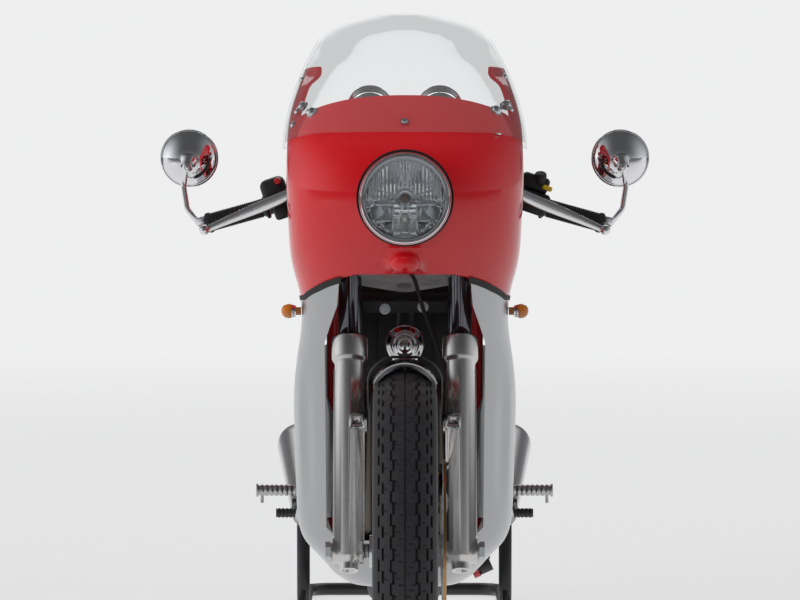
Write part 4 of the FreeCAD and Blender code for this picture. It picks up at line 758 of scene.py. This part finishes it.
def make_grips():
    """Ribbed rubber grips with a flange at each end."""
    bm = bmesh.new()
    for side in (1, -1):
        start, stop = far_ends("grips", side, 0.012)
        along = (stop - start).normalized()
        verts = [vert.co for vert in NODES["grips"].data.vertices if vert.co.x * side > 0]
        reach = [(p - start).dot(along) for p in verts]
        start, length = start + along * min(reach), max(reach) - min(reach)
        bore, radius, ribs = 0.0113, 0.0165, 24
        groove = radius - 0.002
        first, last = 0.011, length - 0.011
        pitch = (last - first) / ribs
        outline = [(bore, 0.0), (0.0205, 0.0), (0.0215, 0.0012), (0.0215, 0.0036),
                   (0.0205, 0.0048), (0.0178, 0.006)]
        for rib in range(ribs):
            at = first + rib * pitch
            outline += [(groove, at), (groove, at + pitch * 0.22),
                        (radius, at + pitch * 0.4), (radius, at + pitch * 0.82)]
        outline += [(radius - 0.001, last), (0.018, length - 0.008), (0.0185, length - 0.003),
                    (0.017, length), (bore, length), (bore, 0.0)]
        lathe(bm, outline, aimed(start, along), 40)
    obj = finished("grip_rubbers", bm, "rubber", "grips", 40)
    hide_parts("grips")


# Seat

def apply_modifiers(obj):
    """Bakes an object's modifiers into its mesh."""
    graph = bpy.context.evaluated_depsgraph_get()
    shaped = bpy.data.meshes.new_from_object(obj.evaluated_get(graph))
    materials = [slot.material for slot in obj.material_slots]
    obj.modifiers.clear()
    obj.data = shaped
    shaped.materials.clear()
    for material in materials:
        shaped.materials.append(material)
    shaped.polygons.foreach_set("use_smooth", [True] * len(shaped.polygons))


def fill_out(obj, most):
    """Swells a cushion by a short cloth simulation, at most by the given distance."""
    cloth = obj.modifiers.new("fill", "CLOTH")
    cloth.settings.use_pressure = True
    cloth.settings.uniform_pressure_force = 2.5
    cloth.settings.effector_weights.gravity = 0
    rest = [vert.co.copy() for vert in obj.data.vertices]
    scene = bpy.context.scene
    for step in range(1, 13):
        scene.frame_set(step)
    shaped = obj.evaluated_get(bpy.context.evaluated_depsgraph_get()).data
    swelled = [vert.co.copy() for vert in shaped.vertices]
    obj.modifiers.remove(cloth)
    scene.frame_set(1)
    for vert, was, now in zip(obj.data.vertices, rest, swelled):
        step = now - was
        if step.length > most:
            step = step.normalized() * most
        vert.co = was + step


def make_seat():
    """A padded seat with sewn cross channels."""
    low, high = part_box("seat_pad")
    obj = finished("seat_cover", mesh_of("seat_pad", merge=True), "seat", "seat_pad", 60)
    remesh = obj.modifiers.new("even", "REMESH")
    remesh.mode = "VOXEL"
    remesh.voxel_size = 0.005
    apply_modifiers(obj)
    fill_out(obj, 0.004)
    channels, depth, width = 5, 0.0035, 0.07
    middle = (low.z + high.z) / 2
    for vert in obj.data.vertices:
        p = vert.co
        share = (p.y - low.y) / (high.y - low.y) * channels
        away = abs(share - round(share))
        top = max(0.0, (p.z - middle) / (high.z - low.z) * 2)
        if 0.5 < share < channels - 0.2:
            p.z -= depth * math.exp(-(away / width) ** 2) * min(1.0, top * 2)
    soft = obj.modifiers.new("soft", "SUBSURF")
    soft.levels = 1
    soft.render_levels = 1
    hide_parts("seat_pad")


# Headlight

def make_reflector(forward):
    """Dish with upright flutes above, stepped ledges beside and level flutes below."""
    rings, glass, depth = 30, 0.0693, 0.054
    outline = []
    for step in range(rings + 1):
        radius = glass * (1 - step / rings)
        outline.append((radius, depth * (radius / glass) ** 2 - 0.035))
    bm = bmesh.new()
    lathe(bm, outline, Matrix.Identity(4), 180)
    for vert in bm.verts:
        x, y = vert.co.x, vert.co.y
        edge = max(0.0, min(1.0, (glass - 0.002 - math.hypot(x, y)) / 0.002))
        if y > -0.004:
            relief = 0.0016 * edge * abs(math.sin(math.pi * x / 0.0066))
        elif abs(x) > 0.021:
            relief = 0.007 * edge * ((-y - 0.012) % 0.028) / 0.028
        else:
            relief = 0.0012 * edge * abs(math.sin(math.pi * y / 0.009))
        vert.co.z += relief
    bmesh.ops.transform(bm, matrix=forward, verts=bm.verts)
    finished("lamp_reflector", bm, "reflector", "headlight_bowl", 20)


def make_headlight():
    """Reflector, bulb shield with its ledges, bulb cap, pilot lamp and the stepped rim."""
    forward = aimed(LAMP, FORWARD)
    make_reflector(forward)

    bm = bmesh.new()
    lathe(bm, [(0.0098, 0.003), (0.0112, 0.001), (0.0112, -0.006), (0.0138, -0.008),
               (0.0138, -0.012), (0.017, -0.014), (0.0186, -0.018), (0.0186, -0.034)], forward, 48)
    for side in (-1, 1):
        for height, width in ((-0.012, 0.03), (-0.04, 0.022)):
            ledge = LAMP + Vector((side * (0.021 + width / 2), 0.003, height))
            rounded_box(bm, ledge, (width, 0.02, 0.0022), edge=0.0006)
        wall = LAMP + Vector((side * 0.021, 0.008, -0.034))
        rounded_box(bm, wall, (0.002, 0.026, 0.044), edge=0.0006)
    finished("bulb_shield", bm, "reflector", "headlight_bowl")

    bm = bmesh.new()
    lathe(bm, [(0, 0.013), (0.004, 0.0127), (0.0078, 0.0108), (0.0094, 0.007), (0.0094, -0.004)],
          forward, 40)
    finished("bulb_cap", bm, "bulb", "headlight_bowl")

    bm = bmesh.new()
    pilot = aimed(LAMP + Vector((0, 0, -0.038)), FORWARD)
    lathe(bm, [(0, 0.0035), (0.0026, 0.003), (0.0044, 0.0), (0.0044, -0.006), (0.0062, -0.009),
               (0.0088, -0.013), (0.0088, -0.024)], pilot, 32)
    finished("pilot_socket", bm, "white", "headlight_bowl")

    bm = bmesh.new()
    lathe(bm, [(0.0697, 0.02), (0.0697, 0.0335), (0.0703, 0.0352), (0.0712, 0.0345),
               (0.0716, 0.032), (0.0724, 0.032), (0.073, 0.0365), (0.0742, 0.0405),
               (0.0758, 0.0428), (0.0774, 0.042), (0.0788, 0.0385), (0.0793, 0.0345),
               (0.0787, 0.0338), (0.0787, 0.0325), (0.08, 0.032), (0.0805, 0.029),
               (0.0805, -0.01), (0.0755, -0.01), (0.0755, 0.02), (0.0697, 0.02)], forward, 120)
    rim = finished("lamp_rim", bm, "chrome", "headlight_rim", 28)
    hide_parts("headlight_rim")


# Screen and fairing fasteners

# Places in the picture, in pixels across and down.
SCREEN_SCREWS = [
    (404.5, 121), (310, 136), (296.5, 111), (302, 79), (498, 134), (511, 109), (505, 76),
]
WING_NUTS = [(309, 96), (312, 113), (497, 93), (496, 111)]


def make_screen_screws():
    """Dome screws round the screen's edge and dome nuts on the wings behind it."""
    bm = bmesh.new()
    screen = surface_of("windscreen")
    for place in SCREEN_SCREWS:
        point, normal = struck(screen, *place)
        button_head(bm, point - normal * 0.0004, normal, 0.0054, 0.0034)
    wings = surface_of("upper_fairing")
    for place in WING_NUTS:
        point, normal = struck(wings, *place)
        lathe(bm, [(0.0115, -0.0006), (0.0115, 0.0014), (0.0094, 0.0018), (0.009, 0.005),
                   (0.0072, 0.0078), (0.0038, 0.0094), (0, 0.0098)], aimed(point, normal), 28)
    finished("fairing_screws", bm, "chrome", "headlight_rim")


# Instruments

def letters(bm, words, size, at):
    """Adds flat characters to a bmesh, centred on a placing matrix."""
    curve = bpy.data.curves.new("characters", "FONT")
    curve.body = words
    curve.size = size
    curve.align_x = "CENTER"
    curve.align_y = "CENTER"
    curve.extrude = 0.0001
    obj = linked("characters", curve)
    graph = bpy.context.evaluated_depsgraph_get()
    mesh = bpy.data.meshes.new_from_object(obj.evaluated_get(graph))
    bpy.data.objects.remove(obj)
    mesh.transform(at)
    bm.from_mesh(mesh)


def dial_spot(radius, angle, height):
    return Vector((radius * math.sin(angle), radius * math.cos(angle), height))


def make_instruments():
    """Dials with their marks, hands and glasses in the two cups."""
    faces, marks, glasses, hubs = bmesh.new(), bmesh.new(), bmesh.new(), bmesh.new()
    tilt = Matrix.Rotation(math.radians(20), 4, "X") @ Matrix.Rotation(math.radians(-90), 4, "X")
    ticks, face, zero = 30, 0.0208, math.radians(-130)
    for side, step in ((1, 20), (-1, 1)):
        at = Matrix.Translation(spot(side * 62, 212, 1075)) @ tilt
        lathe(faces, [(0, 0.0207), (0.0342, 0.0207), (0.0342, 0.0203)], at, 48)
        lathe(glasses, [(0, 0.0247), (0.0345, 0.0244), (0.0345, 0.0238)], at, 48)
        lathe(hubs, [(0, 0.0235), (0.003, 0.0233), (0.0032, 0.021)], at, 20)
        for number in range(ticks + 1):
            angle = math.radians(-130 + 260 * number / ticks)
            long = number % 5 == 0
            size = (0.0008, 0.005, 0.0003) if long else (0.0004, 0.0028, 0.0003)
            turn = at @ Matrix.Rotation(-angle, 4, "Z")
            place = Matrix.Translation((0, 0.0315 - size[1] / 2, face))
            stretch = Matrix.Diagonal((*size, 1.0))
            bmesh.ops.create_cube(marks, size=1.0, matrix=turn @ place @ stretch)
            if long:
                where = Matrix.Translation(dial_spot(0.0225, angle, face))
                letters(marks, str(number // 5 * 2 * step), 0.0062, at @ where)
        tip, tail = (at @ dial_spot(reach, zero, 0.0222) for reach in (0.026, -0.006))
        post(marks, tail, tip, 0.0008, 0.0003, 8)
    finished("dial_faces", faces, "dial", "gauges")
    finished("dial_marks", marks, "white", "gauges", 20)
    finished("dial_hubs", hubs, "chrome", "gauges")
    finished("dial_glasses", glasses, "lens", "headlight_lens")


# Bars

def make_mirror_glasses():
    """Convex mirror glasses, their rolled rims and the clamp screws on the ball joints."""
    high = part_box("mirrors")[1]
    centre = Vector((high.x - 0.05, high.y, high.z - 0.05))
    rearward = aimed(centre, (0, 1, 0))
    radius, foot, bulge = 0.0472, 0.0004, 0.002
    shares = [1 - step / 8 for step in range(1, 9)]
    dome = [(radius * share, foot + bulge * (1 - share ** 2)) for share in shares]
    bm = bmesh.new()
    lathe(bm, [(0.0476, -0.0006), (radius, foot)] + dome, rearward, 64)
    mirror_over(bm)
    finished("mirror_glasses", bm, "mirror", "mirrors")
    bm = bmesh.new()
    angles = [2 * math.pi * step / 12 for step in range(13)]
    ring = [(0.0505 + 0.0021 * math.cos(a), -0.004 + 0.0045 * math.sin(a)) for a in angles]
    lathe(bm, ring, rearward, 72)
    joint = Vector((centre.x + 0.002, centre.y - 0.041, centre.z - 0.014))
    button_head(bm, joint + Vector((0, -0.0095, 0)), FORWARD, 0.0042)
    post(bm, joint + Vector((-0.012, 0, 0)), joint + Vector((0.012, 0, 0)), 0.0042)
    mirror_over(bm)
    finished("mirror_rims", bm, "chrome", "mirrors")


def make_switches():
    """Switch housings with an adjuster, a yellow lever and the stop button."""
    bm = bmesh.new()
    slope = math.radians(19)
    rounded_box(bm, spot(234, 318, 944), (0.05, 0.036, 0.028), slope, 0.007)
    rounded_box(bm, spot(234, 316, 908), (0.046, 0.042, 0.04), slope, 0.006)
    rounded_box(bm, spot(-234, 318, 930), (0.046, 0.042, 0.046), -slope, 0.012)
    rounded_box(bm, spot(-221, 302, 893), (0.026, 0.04, 0.026), -slope, 0.006)
    lathe(bm, [(0.0, 0.028), (0.009, 0.028), (0.011, 0.025), (0.011, 0.0)],
          aimed(spot(243, 312, 936), (0, -0.4, 1)), 24)
    finished("switch_housings", bm, "plastic", "switchgear")
    bm = bmesh.new()
    rounded_box(bm, spot(255, 298, 935), (0.018, 0.014, 0.009), slope, 0.003)
    finished("switch_lever", bm, "yellow", "switchgear")
    bm = bmesh.new()
    lathe(bm, [(0, 0.006), (0.005, 0.0055), (0.0064, 0.003), (0.0064, -0.006)],
          aimed(spot(-228, 297, 948), FORWARD), 24)
    finished("stop_button", bm, "button_red", "switchgear")


# Small metal, with its places in the picture

PLATE_BOLTS = [(385, 309), (423, 307)]
SLIDER_SCREWS = [(355, 428), (458, 428)]


def ringed_bolt(bm, point, normal, radius):
    """A hexagon bolt on a washer."""
    at = aimed(point, normal)
    lathe(bm, [(radius, -0.0005), (radius, 0.0012), (radius * 0.55, 0.0014)], at, 32)
    post(bm, at @ Vector((0, 0, 0.0008)), at @ Vector((0, 0, 0.0052)), radius * 0.62,
         radius * 0.6, 6)


def make_plate_bolts():
    bm = bmesh.new()
    plate = surface_of("front_plate")
    for place in PLATE_BOLTS:
        ringed_bolt(bm, *struck(plate, *place), 0.0098)
    button_head(bm, (0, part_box("horn")[0].y, centre_of("horn").z), FORWARD, 0.004)
    finished("plate_bolts", bm, "zinc", "horn")


def make_fork_nuts():
    """Slider screws, the axle's hexagon ends and the spacer beside the wheel's hub."""
    bm = bmesh.new()
    sliders = surface_of("fork_sliders")
    for place in SLIDER_SCREWS:
        button_head(bm, *struck(sliders, *place), 0.0048)
    low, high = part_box("front_axle")

    def on_axle(x):
        return Vector((x, FRONT_AXLE.y, FRONT_AXLE.z))

    for side, end in ((-1, low.x), (1, high.x)):
        far = on_axle(end + side * 0.0006)
        post(bm, on_axle(end - side * 0.0085), far, 0.0166, 0.0164, 6)
        lathe(bm, [(0.0102, -0.0006), (0.006, 0.0012), (0, 0.0012)], aimed(far, (side, 0, 0)), 24)
    post(bm, on_axle(-0.0708), on_axle(-0.0623), 0.0128)
    finished("fork_nuts", bm, "zinc", "front_axle")


def make_disc_edge():
    """A thin bronze band round the front disc."""
    bm = bmesh.new()
    radius = radius_of("front_disc")
    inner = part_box("front_disc")[1].x - 0.005
    outline = [(radius - 0.001, 0), (radius + 0.0003, 0.0004), (radius + 0.0003, 0.0046),
               (radius - 0.001, 0.005)]
    lathe(bm, outline, aimed((inner, FRONT_AXLE.y, FRONT_AXLE.z), (1, 0, 0)), 120)
    finished("disc_edge", bm, "bronze", "front_disc")


def make_indicator_rings():
    bm = bmesh.new()
    centre = centre_of("front_indicators")
    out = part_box("front_indicators")[1].x - 0.0225
    for side in (-1, 1):
        lathe(bm, [(0.0072, -0.004), (0.0105, -0.0035), (0.0105, 0.0), (0.0118, 0.0022),
                   (0.0118, 0.004), (0.009, 0.0046)],
              aimed((side * out, centre.y, centre.z), (side, 0, 0)), 32)
    finished("indicator_rings", bm, "chrome", "headlight_rim")


# Behind the fork

def make_inner_shield():
    """A black splash shield behind the fork, with upright ribs and two ears."""
    bm = bmesh.new()
    back = 373.5
    rounded_box(bm, spot(0, back, 702), (0.208, 0.003, 0.19), edge=0.0012)
    for x in (-88, -52, -18, 18, 52, 88):
        rounded_box(bm, spot(x, back - 3, 690), (0.005, 0.004, 0.15), edge=0.001)
    for side in (-1, 1):
        ear = spot(side * 54, back, 803)
        rounded_box(bm, ear, (0.056, 0.003, 0.034), side * 0.12, 0.0012)
    finished("inner_shield", bm, "plastic", "rear_mudguard")


def make_cross_sleeve():
    """A rubber sleeve on the frame's front cross tube, with two pads at each end."""
    bm = bmesh.new()
    post(bm, spot(-105, 352, 733), spot(105, 352, 733), 0.01125)
    for x in (-66, -100, 66, 100):
        rounded_box(bm, spot(x, 344.5, 722), (0.007, 0.012, 0.026), edge=0.0015)
    finished("cross_sleeve", bm, "rubber", "front_plate")


def make_opening_lip():
    """The fairing's skin turned inwards beside the fork legs, narrower towards its top."""
    skin = surface_of("lower_fairing")
    start_x, root_x, full, seat = -0.1436, -0.1418, 0.0145, 0.0006
    bottom, length, rows = 0.336, 0.326, 24
    edges = []
    for step in range(rows + 1):
        z = bottom + length * step / rows
        start = Vector((start_x, FRONT_AXLE.y - 0.6, z))
        point = skin.ray_cast(start, Vector((0, 1, 0)))[0]
        if point is not None:
            edges.append((point, full * max(0.3, min(1.0, (0.582 - z) / 0.05))))
    bm = bmesh.new()
    row = [bm.verts.new((root_x, point.y + seat, point.z)) for point, width in edges]
    chain = [bm.edges.new(pair) for pair in zip(row, row[1:])]
    for share, depth in ((0.35, 0.001), (0.75, 0.005), (1.0, 0.012)):
        made = bmesh.ops.extrude_edge_only(bm, edges=chain)["geom"]
        moved = [item for item in made if isinstance(item, bmesh.types.BMVert)]
        moved.sort(key=lambda vert: vert.co.z)
        for vert, (point, width) in zip(moved, edges):
            vert.co.x = root_x + width * share
            vert.co.y = point.y + seat + depth * width / full
        chain = [item for item in made if isinstance(item, bmesh.types.BMEdge)
                 and all(vert in moved for vert in item.verts)]
        chain.sort(key=lambda line: line.verts[0].co.z + line.verts[1].co.z)
    bmesh.ops.recalc_face_normals(bm, faces=bm.faces)
    bmesh.ops.solidify(bm, geom=bm.faces[:], thickness=0.0018)
    mirror_over(bm)
    finished("opening_lips", bm, "silver", "lower_fairing", 50)


# Wheels and brake

def make_nipples():
    """Spoke nipples along the wells of both rims."""
    spokes, foot_radius, length = 36, 0.2066, 0.014
    for name, node in (("front_nipples", "front_wheel"), ("rear_nipples", "rear_wheel")):
        bm = bmesh.new()
        centre = centre_of(node)
        for number in range(spokes):
            side = 1 if number % 2 else -1
            across = 0.007 if number % 4 < 2 else 0.0025
            angle = 2 * math.pi * number / spokes
            out = Vector((0, math.cos(angle), math.sin(angle)))
            foot = centre + out * foot_radius + Vector((side * across, 0, 0))
            post(bm, foot - out * length, foot, 0.0026, 0.0032, 8)
        finished(name, bm, "zinc", node)


def make_caliper_bolts():
    """Socket bolts in the front caliper's face."""
    bm = bmesh.new()
    for up in (100, 156):
        for x in (54, 90):
            at = aimed(fork_spot(x, 43.6, up), -FORK_BEHIND)
            lathe(bm, [(0.0068, -0.0006), (0.0068, 0.0022), (0.0062, 0.0038), (0.0032, 0.0038),
                       (0.003, 0.0016), (0, 0.0016)], at, 20)
    finished("caliper_bolts", bm, "gold", "front_axle")


# Add-on

class StageSettings(bpy.types.PropertyGroup):
    """Sizes and colours of the stage."""

    backdrop: bpy.props.FloatVectorProperty(
        name="Backdrop", description="Colour behind the machine as the camera sees it",
        subtype="COLOR", default=(0.86, 0.862, 0.868), min=0, max=1)
    room: bpy.props.FloatVectorProperty(
        name="Room", description="Even light from all round", subtype="COLOR",
        default=(0.62, 0.63, 0.65), min=0, max=1)
    camera_place: bpy.props.FloatVectorProperty(
        name="Camera", description="Where the camera stands", subtype="XYZ", unit="LENGTH",
        default=(-0.0087, FRONT_AXLE.y - 8.978, 1.383))
    pitch: bpy.props.FloatProperty(
        name="Pitch", description="How far the camera looks down", subtype="ANGLE",
        default=math.radians(4.0))
    lens: bpy.props.FloatProperty(
        name="Lens", description="Focal length in millimetres", default=233.4, min=20)


class Step:
    """What every step does when its button is pressed: it runs its makers in turn."""

    makers = ()

    def execute(self, context):
        for make in self.makers:
            make()
        return {"FINISHED"}


class CAFE_OT_stage(Step, bpy.types.Operator):
    """Builds the floor, the lamps and the camera"""

    bl_idname = "cafe.stage"
    bl_label = "Stage"
    makers = (make_stage,)


class CAFE_OT_finishes(Step, bpy.types.Operator):
    """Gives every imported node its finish"""

    bl_idname = "cafe.finishes"
    bl_label = "Finishes"
    makers = (make_looks, finish_nodes)


class CAFE_OT_tyres(Step, bpy.types.Operator):
    """Cuts the tread of both tyres"""

    bl_idname = "cafe.tyres"
    bl_label = "Tyres"
    makers = (make_tyres,)


class CAFE_OT_grips(Step, bpy.types.Operator):
    """Builds the ribbed grips"""

    bl_idname = "cafe.grips"
    bl_label = "Grips"
    makers = (make_grips,)


class CAFE_OT_headlight(Step, bpy.types.Operator):
    """Builds the lamp's reflector, bulbs and rim"""

    bl_idname = "cafe.headlight"
    bl_label = "Headlight"
    makers = (make_headlight,)


class CAFE_OT_screws(Step, bpy.types.Operator):
    """Sets the screws of the screen and the fairing"""

    bl_idname = "cafe.screws"
    bl_label = "Screen screws"
    makers = (make_screen_screws,)


class CAFE_OT_instruments(Step, bpy.types.Operator):
    """Fills the instrument cups"""

    bl_idname = "cafe.instruments"
    bl_label = "Instruments"
    makers = (make_instruments,)


class CAFE_OT_bars(Step, bpy.types.Operator):
    """Adds mirror glasses and switches to the bars"""

    bl_idname = "cafe.bars"
    bl_label = "Bars"
    makers = (make_mirror_glasses, make_switches)


class CAFE_OT_front(Step, bpy.types.Operator):
    """Adds bolts, nuts and rings at the front"""

    bl_idname = "cafe.front"
    bl_label = "Front details"
    makers = (make_plate_bolts, make_fork_nuts, make_disc_edge, make_indicator_rings)


class CAFE_OT_shield(Step, bpy.types.Operator):
    """Adds the shield behind the fork and the fairing's turned lips"""

    bl_idname = "cafe.shield"
    bl_label = "Shield and lips"
    makers = (make_inner_shield, make_cross_sleeve, make_opening_lip)


class CAFE_OT_wheels(Step, bpy.types.Operator):
    """Adds spoke nipples and caliper bolts"""

    bl_idname = "cafe.wheels"
    bl_label = "Wheel details"
    makers = (make_nipples, make_caliper_bolts)


class CAFE_OT_seat(Step, bpy.types.Operator):
    """Pads and sews the seat"""

    bl_idname = "cafe.seat"
    bl_label = "Seat"
    makers = (make_seat,)


STEPS = [CAFE_OT_stage, CAFE_OT_finishes, CAFE_OT_tyres, CAFE_OT_grips, CAFE_OT_headlight,
         CAFE_OT_screws, CAFE_OT_instruments, CAFE_OT_bars, CAFE_OT_front, CAFE_OT_shield,
         CAFE_OT_wheels, CAFE_OT_seat]


class CAFE_PT_panel(bpy.types.Panel):
    """Lists the steps that dress the machine"""

    bl_idname = "CAFE_PT_panel"
    bl_label = "Cafe racer"
    bl_space_type = "VIEW_3D"
    bl_region_type = "UI"
    bl_category = "Cafe racer"

    def draw(self, context):
        for name in StageSettings.__annotations__:
            self.layout.prop(context.scene.cafe_stage, name)
        for step in STEPS:
            self.layout.operator(step.bl_idname)


CLASSES = [StageSettings, *STEPS, CAFE_PT_panel]


def register():
    for item in CLASSES:
        bpy.utils.register_class(item)
    bpy.types.Scene.cafe_stage = bpy.props.PointerProperty(type=StageSettings)


def unregister():
    del bpy.types.Scene.cafe_stage
    for item in reversed(CLASSES):
        bpy.utils.unregister_class(item)


def main():
    register()
    for step in STEPS:
        group, name = step.bl_idname.split(".")
        getattr(getattr(bpy.ops, group), name)()


if __name__ == "__main__":
    main()
